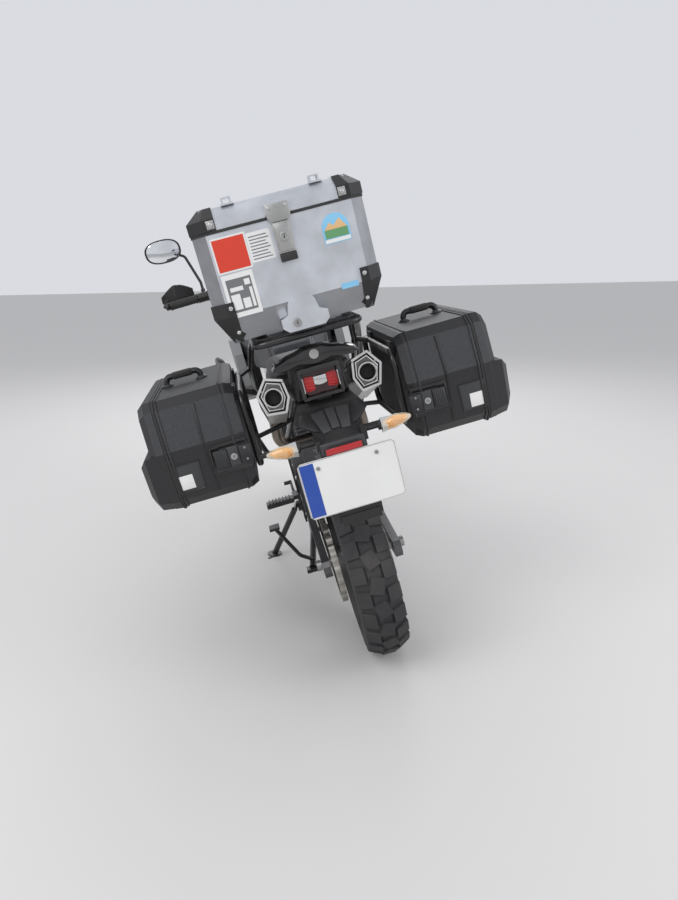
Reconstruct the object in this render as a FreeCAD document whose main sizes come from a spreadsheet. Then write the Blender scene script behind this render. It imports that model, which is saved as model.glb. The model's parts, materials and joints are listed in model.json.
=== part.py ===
"""Adventure motorcycle with an aluminium top case and two hard panniers, parked on its side stand.

Every piece is modelled on the upright machine: X to the rider's right, Y forward, Z up, with the ground
under the rear axle as the zero point. One placement, PARKED, then leans the whole machine on its stand.
"""
import FreeCAD, Part
import math
import os

import Sketcher
from FreeCAD import Placement, Rotation, Vector

os.makedirs("parts", exist_ok=True)
doc = FreeCAD.newDocument("AdventureMotorcycle")

# Driving sizes: name, value (millimetres, degrees or a count), meaning
SIZES = (
    ("wheelbase", 1500, "rear axle to front axle"),
    ("rear_radius", 320, "rear tyre, to the tips of its blocks"),
    ("rear_width", 132, "rear tyre"),
    ("rear_bead_radius", 216, "seat of the rear tyre on its rim"),
    ("rear_rim_half", 41, "half width between the rear rim's flanges"),
    ("front_radius", 348, "front tyre, to the tips of its blocks"),
    ("front_width", 92, "front tyre"),
    ("front_bead_radius", 267, "seat of the front tyre on its rim"),
    ("front_rim_half", 27, "half width between the front rim's flanges"),
    ("block_height", 9, "tread blocks above the carcass"),
    ("rear_tread_rows", 26, "rows of blocks round the rear tyre"),
    ("front_tread_rows", 28, "rows of blocks round the front tyre"),
    ("tread_chevron", 18, "middle blocks turned this way and that"),
    ("spoke_count", 32, "spokes in each wheel"),
    ("spoke_radius", 2.4, "spoke"),
    ("axle_radius", 10, "both axles"),
    ("axle_bore", 6, "radius of the hole through each axle"),
    ("running_clearance", 0.5, "turning parts on their shafts, on radius"),
    ("seat_gap", 0.3, "pieces that rest on each other"),
    ("rake", 28, "steering axis from the vertical"),
    ("trail", 113, "steering axis ahead of the front axle on the ground"),
    ("lean", 13.5, "parked lean to the left"),
    ("stem_radius", 24, "steering stem"),
    ("head_tube_radius", 33, "steering head, outside"),
    ("head_low", 955, "lower end of the steering head along its axis, from the ground"),
    ("head_high", 1125, "upper end of the steering head"),
    ("clamp_thickness", 35, "each fork clamp"),
    ("clamp_clearance", 5, "fork clamp to steering head"),
    ("fork_half", 105, "steering axis to each fork leg"),
    ("fork_offset", 35, "fork legs ahead of the steering axis"),
    ("fork_tube_radius", 21.5, "inner fork tube"),
    ("slider_radius", 29, "fork slider"),
    ("slider_top", 760, "top of the sliders along the fork"),
    ("front_disc_radius", 149, "front brake discs"),
    ("front_disc_x", 60, "inner face of each front disc"),
    ("rear_disc_radius", 122, "rear brake disc"),
    ("rear_disc_x", 80, "inner face of the rear disc"),
    ("disc_thickness", 5, "brake discs"),
    ("bar_radius", 11, "handlebar tube"),
    ("bar_reach", 432, "handlebar end from the middle"),
    ("bar_height", 1172, "handlebar end above the ground"),
    ("mirror_reach", 468, "outer edge of each mirror from the middle"),
    ("mirror_height", 1392, "middle of each mirror above the ground"),
    ("arm_inner", 103, "inner face of each swingarm leg"),
    ("arm_thickness", 24, "swingarm leg"),
    ("pivot_forward", 590, "swingarm pivot ahead of the rear axle"),
    ("pivot_height", 395, "swingarm pivot above the ground"),
    ("pivot_tube_radius", 28, "swingarm pivot tube"),
    ("chain_x", -87, "middle of the chain line"),
    ("sprocket_pitch_radius", 113.8, "rear sprocket"),
    ("drive_pitch_radius", 38.2, "drive sprocket"),
    ("drive_forward", 665, "drive sprocket ahead of the rear axle"),
    ("drive_height", 400, "drive sprocket above the ground"),
    ("frame_plate_x", 128, "inner face of each frame plate"),
    ("frame_plate_thickness", 8, "frame plates"),
    ("down_tube_x", 85, "down tubes from the middle"),
    ("frame_tube_radius", 14, "main frame tubes"),
    ("rail_x", 62, "seat rails from the middle"),
    ("rail_radius", 12, "seat rails"),
    ("rail_front_height", 780, "front end of the seat rails"),
    ("rail_rear_height", 875, "rear end of the seat rails"),
    ("rail_rear", -130, "rear end of the seat rails"),
    ("crank_left", -74, "left face of the crankcase"),
    ("crank_right", 95, "right face of the crankcase"),
    ("crank_bottom", 330, "underside of the crankcase"),
    ("seat_height", 896, "rider's seat"),
    ("pillion_height", 955, "passenger's seat"),
    ("tank_half", 190, "widest half width of the tank"),
    ("tank_post_radius", 10, "posts on the frame that carry the tank"),
    ("tank_top", 1088, "top of the tank"),
    ("muffler_x", 129, "muffler caps from the middle"),
    ("muffler_height", 921, "middle of the muffler caps"),
    ("muffler_rear", -200, "rear faces of the muffler caps"),
    ("header_radius", 20, "exhaust pipes"),
    ("plate_width", 250, "number plate"),
    ("plate_height", 150, "number plate"),
    ("plate_middle", 706, "middle of the number plate above the ground"),
    ("plate_rear", -398, "rear face of the number plate"),
    ("plate_thickness", 2.5, "number plate"),
    ("case_width", 430, "top case"),
    ("case_rear", -270, "rear face of the top case"),
    ("case_depth", 400, "top case, rear to front"),
    ("case_bottom", 1090, "underside of the top case"),
    ("case_belt", 66, "sloping lower band of the top case"),
    ("case_split", 1360, "joint between the top case and its lid"),
    ("case_lid_band", 28, "upright band of the lid"),
    ("case_top", 1412, "top of the lid"),
    ("case_chamfer", 34, "upright corners of the top case"),
    ("case_inset", 34, "how far the bottom and the lid's top draw in"),
    ("case_wall", 3, "top case sheet"),
    ("low_cap_reach", 54, "caps on the lower corners of the top case, from its sides"),
    ("high_cap_reach", 64, "caps on the lid's corners, from its sides"),
    ("corner_wall", 4, "plastic corners of the top case"),
    ("pannier_inner", 232, "inner face of each pannier"),
    ("pannier_split", 452, "joint between a pannier and its lid"),
    ("pannier_outer", 492, "outer face of each pannier"),
    ("pannier_rear", -185, "rear face of each pannier at its crease"),
    ("pannier_front", 300, "front face of each pannier at its crease"),
    ("pannier_bottom", 684, "lowest edge of each pannier"),
    ("pannier_top", 986, "highest edge of each pannier"),
    ("pannier_wall", 5, "pannier shell"),
    ("pannier_bulge", 34, "lower half of each pannier's lid, out from its outer face"),
    ("steering_room", 158, "radius round the steering axis that the fork needs"),
    ("rack_tube_radius", 9, "luggage rack tubes"),
    ("rack_plate_height", 1080, "top face of the rack plate"),
    ("stand_radius", 12, "side stand leg"),
    ("stand_foot_x", -310, "side stand foot from the wheel line, on the ground"),
    ("stand_foot_y", 768, "side stand foot ahead of the rear axle"),
    ("guard_radius", 12, "engine guard tubes"),
    ("guard_reach", 300, "outermost engine guard from the middle"),
)

sheet = doc.addObject("Spreadsheet::Sheet", "Sizes")
for row, (alias, value, meaning) in enumerate(SIZES, start=1):
    sheet.set(f"A{row}", meaning)
    sheet.set(f"B{row}", str(value))
    sheet.setAlias(f"B{row}", alias)
doc.recompute()


class Term:
    """A number that remembers the cells it was worked out from, so that a feature can be bound to them."""

    def __init__(self, value, text):
        self.value = value
        self.text = text

    def __float__(self):
        return float(self.value)

    def __neg__(self):
        return Term(-self.value, f"(-1 * {self.text})")

    def __add__(self, other):
        other = term(other)
        return Term(self.value + other.value, f"({self.text} + {other.text})")

    def __sub__(self, other):
        other = term(other)
        return Term(self.value - other.value, f"({self.text} - {other.text})")

    def __mul__(self, other):
        other = term(other)
        return Term(self.value * other.value, f"({self.text} * {other.text})")

    def __truediv__(self, other):
        other = term(other)
        return Term(self.value / other.value, f"({self.text} / {other.text})")

    def __radd__(self, other):
        return term(other) + self

    def __rsub__(self, other):
        return term(other) - self

    def __rmul__(self, other):
        return term(other) * self


def term(value):
    """A Term from a Term or a plain number."""
    return value if isinstance(value, Term) else Term(value, repr(value))


class Cells:
    """The sheet's cells as Terms: size.wheelbase."""

    def __getattr__(self, alias):
        return Term(float(sheet.get(alias)), "Sizes." + alias)


size = Cells()


def bind(thing, name, value):
    """Ties a property of a feature to the cells."""
    thing.setExpression(name, term(value).text)


ROLES = {"side": "YZ_Plane", "rear": "XZ_Plane", "top": "XY_Plane"}


class Body:
    """A PartDesign body and the few features that this machine's pieces need.

    Views: side is (Y, Z) seen along X, rear is (X, Z) seen along Y, top is (X, Y) seen along Z.
    """

    def __init__(self, name):
        self.body = doc.addObject("PartDesign::Body", name)
        self.name = name
        self.last = None

    def sketch(self, view, loops, offset=0):
        """A sketch of closed loops whose every corner is tied to the cells."""
        drawing = self.body.newObject("Sketcher::SketchObject", self.name + "_outline")
        plane = [f for f in self.body.Origin.OriginFeatures if f.Role == ROLES[view]][0]
        drawing.AttachmentSupport = (plane, [""])
        drawing.MapMode = "FlatFace"
        bind(drawing, "AttachmentOffset.Base.z", -term(offset) if view == "rear" else offset)
        for loop in loops:
            if loop[0] == "circle":
                draw_circle(drawing, *loop[1:])
            else:
                draw_polygon(drawing, loop)
        return drawing

    def _solid(self, kind, drawing, length, symmetric, reverse):
        feature = self.body.newObject("PartDesign::" + kind, self.name + "_" + kind.lower())
        feature.Profile = drawing
        if length is None:
            feature.Type = "ThroughAll"
        else:
            bind(feature, "Length", length)
        feature.SideType = "Symmetric" if symmetric else "One side"
        feature.Reversed = reverse
        self.last = feature
        return feature

    def pad(self, view, loops, length, offset=0, symmetric=False):
        """Material from a view outline. Without symmetric it grows towards +X, +Y or +Z."""
        drawing = self.sketch(view, loops, offset)
        return self._solid("Pad", drawing, length, symmetric, view == "rear" and not symmetric)

    def pocket(self, view, loops, length=None, offset=0, symmetric=True):
        """A cut from a view outline. Without symmetric it runs towards -X, -Y or -Z."""
        drawing = self.sketch(view, loops, offset)
        return self._solid("Pocket", drawing, length, symmetric, view == "rear" and not symmetric)

    def keep(self, view, loop, far=3000):
        """Trims the body to what lies inside an outline of another view."""
        frame = [(-far, -far), (far, -far), (far, far), (-far, far)]
        return self.pocket(view, [frame, loop])


def draw_polygon(drawing, corners):
    """Lines through the corners, each corner tied to the cells."""
    first = drawing.GeometryCount
    values = [(float(a), float(b)) for a, b in corners]
    count = len(corners)
    for n in range(count):
        start, end = values[n], values[(n + 1) % count]
        drawing.addGeometry(Part.LineSegment(Vector(*start, 0), Vector(*end, 0)), False)
    for n in range(count):
        drawing.addConstraint(Sketcher.Constraint("Coincident", first + n, 2, first + (n + 1) % count, 1))
    for n in range(count):
        for kind, axis, expression, value in (
            ("DistanceX", -2, corners[n][0], values[n][0]),
            ("DistanceY", -1, corners[n][1], values[n][1]),
        ):
            if abs(value) < 1e-9:
                drawing.addConstraint(Sketcher.Constraint("PointOnObject", first + n, 1, axis))
                continue
            index = drawing.addConstraint(Sketcher.Constraint(kind, -1, 1, first + n, 1, value))
            bind(drawing, f"Constraints[{index}]", expression)


def draw_circle(drawing, across, up, radius):
    """A circle whose centre and radius are tied to the cells."""
    index = drawing.addGeometry(
        Part.Circle(Vector(float(across), float(up), 0), Vector(0, 0, 1), float(radius)), False
    )
    for kind, axis, expression in (("DistanceX", -2, across), ("DistanceY", -1, up)):
        value = float(expression)
        if abs(value) < 1e-9:
            drawing.addConstraint(Sketcher.Constraint("PointOnObject", index, 3, axis))
            continue
        at = drawing.addConstraint(Sketcher.Constraint(kind, -1, 1, index, 3, value))
        bind(drawing, f"Constraints[{at}]", expression)
    at = drawing.addConstraint(Sketcher.Constraint("Radius", index, float(radius)))
    bind(drawing, f"Constraints[{at}]", radius)


def both_sides(half):
    """A symmetric outline from its right half, listed from the bottom up."""
    return list(half) + [(-term(across), up) for across, up in reversed(half)]


def shape_of(thing):
    """The shape of a body, a feature or a plain shape."""
    if isinstance(thing, Body):
        doc.recompute()
        return thing.body.Shape
    return thing.Shape if hasattr(thing, "Shape") else thing


def fuse(first, *others):
    """One solid from shapes that overlap or touch."""
    joined = shape_of(first).fuse([shape_of(other) for other in others])
    return joined.removeSplitter()


def cut(base, *tools):
    """A shape without what the tools cover."""
    return shape_of(base).cut([shape_of(tool) for tool in tools])


def mirrored(shape):
    """The same shape on the other side of the machine."""
    return shape_of(shape).mirror(Vector(0, 0, 0), Vector(1, 0, 0))


def rod(start, end, radius):
    """A round bar from one point to another."""
    start, end = Vector(*map(float, start)), Vector(*map(float, end))
    return Part.makeCylinder(float(radius), (end - start).Length, start, end - start)


def drum(x_low, x_high, y, z, radius):
    """A cylinder across the machine."""
    return rod((x_low, y, z), (x_high, y, z), radius)


def box(x, y, z):
    """A block from three (low, high) pairs."""
    lows = [float(pair[0]) for pair in (x, y, z)]
    spans = [float(pair[1]) - float(pair[0]) for pair in (x, y, z)]
    return Part.makeBox(*spans, Vector(*lows))


def slab(outline, x_low, x_high):
    """A side-view (Y, Z) outline made solid between two X values."""
    corners = [Vector(float(x_low), float(y), float(z)) for y, z in outline]
    face = Part.Face(Part.makePolygon(corners + corners[:1]))
    return face.extrude(Vector(float(x_high) - float(x_low), 0, 0))


def hull_between(sections):
    """A solid skin of flat strips through closed outlines that have the same number of corners."""
    wires = []
    for corners in sections:
        points = [Vector(*map(float, corner)) for corner in corners]
        wires.append(Part.makePolygon(points + points[:1]))
    return Part.makeLoft(wires, True, True)


def tube(points, radius, bend=None, closed=False):
    """A round tube through the points, with its corners bent to a radius."""
    points = [Vector(*map(float, point)) for point in points]
    radius = float(radius)
    bend = 3 * radius if bend is None else float(bend)
    count = len(points)
    corners = range(count) if closed else range(1, count - 1)
    arcs = {}
    for n in corners:
        here = points[n]
        before = (points[n - 1] - here).normalize()
        after = (points[(n + 1) % count] - here).normalize()
        half = before.getAngle(after) / 2
        if half > math.radians(89):
            continue
        back = bend / math.tan(half)
        room = 0.48 * min((points[n - 1] - here).Length, (points[(n + 1) % count] - here).Length)
        back = min(back, room)
        middle = (before + after).normalize()
        reach = back / math.cos(half) - back * math.tan(half)
        arcs[n] = (here + before * back, here + middle * reach, here + after * back)
    edges = []
    spans = range(count) if closed else range(count - 1)
    for n in spans:
        following = (n + 1) % count
        start = arcs[n][2] if n in arcs else points[n]
        end = arcs[following][0] if following in arcs else points[following]
        if (end - start).Length > 1e-6:
            edges.append(Part.LineSegment(start, end).toShape())
        if following in arcs and (closed or following < count - 1):
            edges.append(Part.Arc(*arcs[following]).toShape())
    path = Part.Wire(edges)
    first = path.OrderedEdges[0]
    begin = first.valueAt(first.FirstParameter)
    ring = Part.Wire(Part.makeCircle(radius, begin, first.tangentAt(first.FirstParameter)))
    return path.makePipeShell([ring], True, True)


def mirrored_pair(shape):
    """A shape and its mirror image."""
    return [shape, mirrored(shape)]


# The steering axis: heights along it are counted from the ground
RAKE = math.radians(float(size.rake))
AXIS = Vector(0, -math.sin(RAKE), math.cos(RAKE))
AHEAD = Vector(0, math.cos(RAKE), math.sin(RAKE))
AXIS_FOOT = Vector(0, float(size.wheelbase + size.trail), 0)


def steer(x, along, ahead):
    """A point given in the fork's own directions."""
    return AXIS_FOOT + AXIS * float(along) + AHEAD * float(ahead) + Vector(float(x), 0, 0)


def fork_block(x, along, ahead):
    """A block squared up with the fork, from (low, high) pairs."""
    block = box(x, ahead, along)
    block.rotate(Vector(0, 0, 0), Vector(1, 0, 0), float(size.rake))
    block.translate(AXIS_FOOT)
    return block


FRONT_AXLE = Vector(0, float(size.wheelbase), float(size.front_radius) - 0.3)
REAR_AXLE = Vector(0, 0, float(size.rear_radius))

NODES = {}


def wheel_shape(shape, centre):
    """Moves a shape drawn round the X axis to its axle."""
    placed = shape.copy()
    placed.translate(centre)
    return placed


def spun(outline):
    """A ring from an (x, radius) outline turned about the X axis."""
    corners = [Vector(float(x), 0, float(r)) for x, r in outline]
    face = Part.Face(Part.makePolygon(corners + corners[:1]))
    return face.revolve(Vector(0, 0, 0), Vector(1, 0, 0), 360)


def tyre(radius, width, bead, rim_half, rows):
    """A tyre with three rows of tread blocks, drawn round the X axis."""
    radius, half, bead, rim_half = float(radius), float(width) / 2, float(bead), float(rim_half)
    height, turned = float(size.block_height), float(size.tread_chevron)
    crown = radius - height
    carcass = spun([
        (-rim_half, bead), (-rim_half, bead + 11), (-rim_half - 5, bead + 16),
        (-half, bead + 0.5 * (crown - bead)), (-0.93 * half, bead + 0.74 * (crown - bead)),
        (-0.64 * half, crown - 0.17 * half),
        (-0.26 * half, crown), (0.26 * half, crown), (0.64 * half, crown - 0.17 * half),
        (0.93 * half, bead + 0.74 * (crown - bead)), (half, bead + 0.5 * (crown - bead)),
        (rim_half + 5, bead + 16), (rim_half, bead + 11), (rim_half, bead),
    ])
    step = 360 / rows
    length = 0.62 * 2 * math.pi * radius / rows
    chevron = 0.3 * half * math.sin(math.radians(turned))
    top = math.sqrt(radius ** 2 - (length / 2 + chevron) ** 2)
    blocks = []
    for row in range(rows):
        middle = box((-0.3 * half, 0.3 * half), (-length / 2, length / 2), (crown - 5, top))
        middle.rotate(Vector(0, 0, 0), Vector(0, 0, 1), turned if row % 2 else -turned)
        middle.rotate(Vector(0, 0, 0), Vector(1, 0, 0), row * step)
        blocks.append(middle)
        for side in (-1, 1):
            outline = [
                (0.38 * half, crown - 10), (0.38 * half, top - 0.05 * half), (0.66 * half, top - 0.19 * half),
                (0.97 * half, bead + 0.74 * (crown - bead) + height),
                (0.91 * half, bead + 0.66 * (crown - bead)),
            ]
            corners = [Vector(side * x, -length / 2, z) for x, z in outline]
            block = Part.Face(Part.makePolygon(corners + corners[:1])).extrude(Vector(0, length, 0))
            block.rotate(Vector(0, 0, 0), Vector(1, 0, 0), (row + 0.5) * step)
            blocks.append(block)
    return carcass.fuse(blocks).removeSplitter()


def spokes(hub_x, hub_radius, rim_radius):
    """Crossed wire spokes between a hub's flanges and its rim, drawn round the X axis."""
    wires = []
    count = int(float(size.spoke_count))
    for n in range(count):
        side = 1 if n % 2 else -1
        lean = 24 if n % 4 < 2 else -24
        rim_angle = math.radians(360 * n / count)
        hub_angle = rim_angle + math.radians(lean)
        start = (side * hub_x, -hub_radius * math.sin(hub_angle), hub_radius * math.cos(hub_angle))
        end = (side * 4, -rim_radius * math.sin(rim_angle), rim_radius * math.cos(rim_angle))
        wires.append(rod(start, end, size.spoke_radius))
    return wires


def rim(bead, half):
    """A rim that the tyre sits on, drawn round the X axis."""
    bead, half = float(bead) - 0.3, float(half) + 0.3
    return spun([
        (-half, bead), (-half, bead + 10), (-half - 3.5, bead + 10), (-half - 3.5, bead - 8),
        (-half + 8, bead - 14), (-10, bead - 20), (10, bead - 20), (half - 8, bead - 14),
        (half + 3.5, bead - 8), (half + 3.5, bead + 10), (half, bead + 10), (half, bead),
    ])


# Wheels

rear_tyre = tyre(
    size.rear_radius, size.rear_width, size.rear_bead_radius, size.rear_rim_half,
    int(float(size.rear_tread_rows)))
front_tyre = tyre(
    size.front_radius, size.front_width, size.front_bead_radius, size.front_rim_half,
    int(float(size.front_tread_rows)))
NODES["rear_tyre"] = wheel_shape(rear_tyre, REAR_AXLE)
NODES["front_tyre"] = wheel_shape(front_tyre, FRONT_AXLE)

hub_bore = float(size.axle_radius + size.running_clearance)
rear_hub = spun([
    (-76, hub_bore), (-76, 46), (-52, 46), (-50, 60), (-44, 60), (-40, 36), (40, 36), (44, 60), (50, 60),
    (52, 46), (79, 46), (79, hub_bore),
])
NODES["rear_wheel"] = wheel_shape(
    rim(size.rear_bead_radius, size.rear_rim_half).fuse(
        [rear_hub] + spokes(47, 55, float(size.rear_bead_radius) - 17)
    ).removeSplitter(), REAR_AXLE)
front_hub = spun([
    (-60, hub_bore), (-60, 42), (-46, 42), (-44, 48), (-39, 48), (-34, 26), (34, 26), (39, 48), (44, 48),
    (46, 42), (60, 42), (60, hub_bore),
])
NODES["front_wheel"] = wheel_shape(
    rim(size.front_bead_radius, size.front_rim_half).fuse(
        [front_hub] + spokes(41, 44, float(size.front_bead_radius) - 17)
    ).removeSplitter(), FRONT_AXLE)


def brake_disc(name, centre, x_low, outer, inner, bore, holes):
    """A drilled disc on a spoked carrier."""
    disc = Body(name)
    y, z = centre.y, centre.z
    disc.pad("side", [("circle", y, z, outer), ("circle", y, z, bore)], size.disc_thickness, x_low)
    windows = []
    for n in range(6):
        turn = [math.radians(60 * n + step) for step in (-19, 0, 19)]
        far = [(y + (inner - 4) * math.sin(a), z + (inner - 4) * math.cos(a)) for a in turn]
        near = [(y + (bore + 24) * math.sin(a), z + (bore + 24) * math.cos(a)) for a in turn[::2]]
        windows.append(far + near[::-1])
    for n in range(holes):
        angle = 2 * math.pi * n / holes
        reach = float(outer) - (9 if n % 2 else 21)
        windows.append(("circle", y + reach * math.sin(angle), z + reach * math.cos(angle), 4))
    disc.pocket("side", windows)
    return disc


NODES["front_disc_right"] = brake_disc(
    "front_disc_right", FRONT_AXLE, size.front_disc_x, size.front_disc_radius, 112, 20, 24)
NODES["front_disc_left"] = brake_disc(
    "front_disc_left", FRONT_AXLE, -size.front_disc_x - size.disc_thickness, size.front_disc_radius,
    112, 20, 24)
NODES["rear_disc"] = brake_disc(
    "rear_disc", REAR_AXLE, size.rear_disc_x - 1, size.rear_disc_radius, 90, 20, 20)

teeth = []
for tooth in range(45):
    for part, reach in ((0.0, 99), (0.25, 107), (0.5, 107), (0.75, 99)):
        angle = 2 * math.pi * (tooth + part) / 45
        teeth.append((reach * math.sin(angle), REAR_AXLE.z + reach * math.cos(angle)))
chain_x = float(size.chain_x)
sprocket = slab(teeth, chain_x - 4, chain_x + 4)
slots = [drum(chain_x - 5, chain_x + 5, 0, REAR_AXLE.z, 20)]
for n in range(5):
    turn = [math.radians(72 * n + step) for step in (-24, 0, 24)]
    far = [(86 * math.sin(a), REAR_AXLE.z + 86 * math.cos(a)) for a in turn]
    near = [(56 * math.sin(a), REAR_AXLE.z + 56 * math.cos(a)) for a in turn[::2]]
    slots.append(slab(far + near[::-1], chain_x - 5, chain_x + 5))
sprocket = sprocket.cut(slots)
carrier = spun([(-83, 20), (-83, 52), (-76, 46), (-76, 20)])
NODES["rear_sprocket"] = fuse(sprocket, wheel_shape(carrier, REAR_AXLE))

axle_bore = float(size.axle_bore)
inner = float(size.arm_inner) - 0.3
NODES["rear_axle"] = cut(
    fuse(drum(-144, 144, 0, REAR_AXLE.z, size.axle_radius),
         drum(-144, -128.3, 0, REAR_AXLE.z, 17), drum(128.3, 144, 0, REAR_AXLE.z, 17),
         drum(-inner, -92, 0, REAR_AXLE.z, 16), drum(85, inner, 0, REAR_AXLE.z, 16)),
    drum(-150, 150, 0, REAR_AXLE.z, axle_bore))

# Chain: plates alternate in and out, two links to a pitch


def chain_path(step_count):
    """Points and outward directions round both sprockets, evenly spaced."""
    big, small = float(size.sprocket_pitch_radius), float(size.drive_pitch_radius)
    far = Vector(0, float(size.drive_forward), float(size.drive_height) - REAR_AXLE.z)
    span = far.Length
    slope = math.atan2(far.z, far.y)
    wrap = math.asin((big - small) / span)
    straight = math.sqrt(span ** 2 - (big - small) ** 2)
    legs = [straight, small * (math.pi - 2 * wrap), straight, big * (math.pi + 2 * wrap)]
    total = sum(legs)
    spots = []
    for n in range(step_count):
        at = total * n / step_count
        upper = math.pi / 2 + slope - wrap
        lower = -math.pi / 2 + slope + wrap
        if at < legs[0]:
            out = upper
            base = Vector(0, big * math.cos(out), big * math.sin(out))
            along = Vector(0, math.cos(slope - wrap), math.sin(slope - wrap)) * at
            spot = base + along
        elif at < legs[0] + legs[1]:
            out = upper - (at - legs[0]) / small
            spot = far + Vector(0, small * math.cos(out), small * math.sin(out))
        elif at < legs[0] + legs[1] + legs[2]:
            out = lower
            base = far + Vector(0, small * math.cos(out), small * math.sin(out))
            run = at - legs[0] - legs[1]
            spot = base - Vector(0, math.cos(slope + wrap), math.sin(slope + wrap)) * run
        else:
            out = lower - (at - legs[0] - legs[1] - legs[2]) / big
            spot = Vector(0, big * math.cos(out), big * math.sin(out))
        spots.append((REAR_AXLE + spot, Vector(0, math.cos(out), math.sin(out))))
    return spots


chain_outer, chain_inner = [], []
for n, (spot, out) in enumerate(chain_path(4 * 57)):
    reach = 17 if n % 4 in (0, 1) else 13.5
    chain_outer.append(spot + out * reach)
    if n % 2 == 0:
        chain_inner.append(spot - out * 0.2)
chain_loops = [Part.makePolygon(loop + loop[:1]) for loop in (chain_outer, chain_inner)]
chain = Part.makeFace(chain_loops, "Part::FaceMakerBullseye").extrude(Vector(18, 0, 0))
chain.translate(Vector(float(size.chain_x) - 9, 0, 0))
NODES["chain"] = chain

# Frame

head_bore = float(size.stem_radius) + 0.4
head_tube = rod(steer(0, size.head_low, 0), steer(0, size.head_high, 0), size.head_tube_radius)
plate = Body("frame_plate")
plate.pad("side", [[
    (535, 262), (585, 262), (640, 292), (650, 420), (632, 610), (592, 610), (566, 560), (540, 430),
]], size.frame_plate_thickness, size.frame_plate_x)
plate.pocket("side", [[(565, 450), (620, 455), (612, 540), (585, 540)]])
plate_x = float(size.frame_plate_x)
down_x = float(size.down_tube_x)
rail_x = float(size.rail_x)
rail_rear_z, rail_front_z = float(size.rail_rear_height), float(size.rail_front_height)
tube_r = float(size.frame_tube_radius)
right_frame = [
    tube([(25, 1112, 930), (100, 900, 830), (plate_x + 2, 602, 575)], tube_r, 80),
    tube([(22, 1122, 885), (down_x, 985, 600), (down_x, 960, 320), (down_x, 900, 297),
          (down_x, 640, 297), (plate_x, 590, 292)], tube_r, 60),
    tube([(rail_x, float(size.rail_rear), rail_rear_z), (rail_x, 640, rail_front_z), (96, 905, 826)],
         size.rail_radius, 80),
    tube([(plate_x, 605, 565), (rail_x, 60, 850)], 10),
    rod((rail_x, 560, 790), (rail_x, 560, 837.5), 9), rod((rail_x, -60, 866), (rail_x, -60, 939.6), 9),
    shape_of(plate),
    box((plate_x + 4, 158), (505, 560), (375, 391)),
    box((156, 262), (482, 520), (374, 392)),
    rod((146, 530, 383), (170, 500, 383), 8),
]
for tooth in range(7):
    right_frame.append(box((168 + 13 * tooth, 174 + 13 * tooth), (482, 520), (391, 397)))
frame = fuse(head_tube, *[piece for part in right_frame for piece in mirrored_pair(part)])
frame = fuse(
    frame,
    drum(-rail_x, rail_x, 500, 797, 11), drum(-rail_x, rail_x, -118, rail_rear_z, 9),
    drum(-down_x, down_x, 972, 440, 9), rod(steer(0, 1040, 28), steer(0, 1040, 150), 16),
    box((-150, -90), (642, 678), (286, 308)), drum(-150, -136, 660, 290, 22),
    tube([(150, 560, 383), (150, 600, 350), (150, 690, 345)], 6), box((142, 172), (680, 712), (340, 352)),
    tube([(-134, 600, 330), (-150, 640, 372), (-150, 720, 378)], 5), drum(-178, -146, 722, 378, 8),
)
frame = cut(frame, rod(steer(0, 900, 0), steer(0, 1200, 0), head_bore))
NODES["frame"] = frame

# Engine

engine = Body("engine")
engine.pad("side", [[
    (621, 352), (640, size.crank_bottom), (880, size.crank_bottom), (900, 380), (890, 470), (850, 520),
    (640, 520), (621, 470),
]], size.crank_right - size.crank_left, size.crank_left)
cylinder = box((-62, 62), (715, 850), (515, 652))
fins = [box((-72, 72), (703, 862), (530 + 17 * n, 536 + 17 * n)) for n in range(7)]
head = slab([(690, 652), (875, 652), (880, 720), (845, 760), (720, 760), (685, 715)], -75, 75)
generator = drum(-121, float(size.crank_left) + 1, 802, 412, 84)
clutch = drum(float(size.crank_right) - 1, 124, 722, 402, 98)
drive_shaft = drum(-93, float(size.crank_left) + 1, size.drive_forward, size.drive_height, 14)
drive = drum(-91, -83, size.drive_forward, size.drive_height, 36.85)
NODES["engine"] = fuse(
    engine, cylinder, *fins, head, generator, clutch, drive_shaft, drive,
    drum(-128, -120, 802, 412, 40), drum(123, 130, 745, 420, 46), drum(-40, 40, 860, 690, 26),
    rod((60, 800, 500), (60, 800, 528), 9), drum(-74, 92, 868, 400, 34),
    box((66, 96), (730, 790), (305, 345)), box((-96, -66), (730, 790), (305, 345)),
)
NODES["engine"] = cut(NODES["engine"], frame)

# Exhaust

muffler_x, muffler_rear = float(size.muffler_x), float(size.muffler_rear)
muffler_z = float(size.muffler_height)


def six_sided(x, y, z, half, tall):
    """The mufflers' uneven six-sided outline."""
    return [
        (x + across * half, y, z + up * tall)
        for across, up in (
            (-0.51, -0.91), (0.68, -0.80), (1.0, 0.24), (0.29, 1.0), (-0.75, 0.73), (-0.90, -0.18))
    ]


muffler_body = hull_between([
    six_sided(muffler_x + 3, 190, 800, 34, 42), six_sided(muffler_x + 2, 130, 818, 44, 54),
    six_sided(muffler_x, muffler_rear + 14, muffler_z - 4, 44, 54),
])
muffler_cap = hull_between([
    six_sided(muffler_x, muffler_rear + 14, muffler_z - 4, 45.5, 56),
    six_sided(muffler_x, muffler_rear, muffler_z, 45.5, 56),
])
dish = hull_between([
    six_sided(muffler_x, muffler_rear + 8, muffler_z, 34, 43),
    six_sided(muffler_x, muffler_rear - 2, muffler_z, 40, 50),
])
outlet = (muffler_x + 2, muffler_rear + 2, muffler_z - 1)
muffler = muffler_body.fuse([muffler_cap]).cut(dish)
muffler = muffler.fuse(rod((outlet[0], muffler_rear + 20, outlet[2]), outlet, 25))
muffler = muffler.cut(rod((outlet[0], muffler_rear + 90, outlet[2] - 8), (outlet[0], -220, outlet[2]), 21))
NODES["muffler_right"] = muffler
NODES["muffler_left"] = mirrored(muffler)

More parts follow.
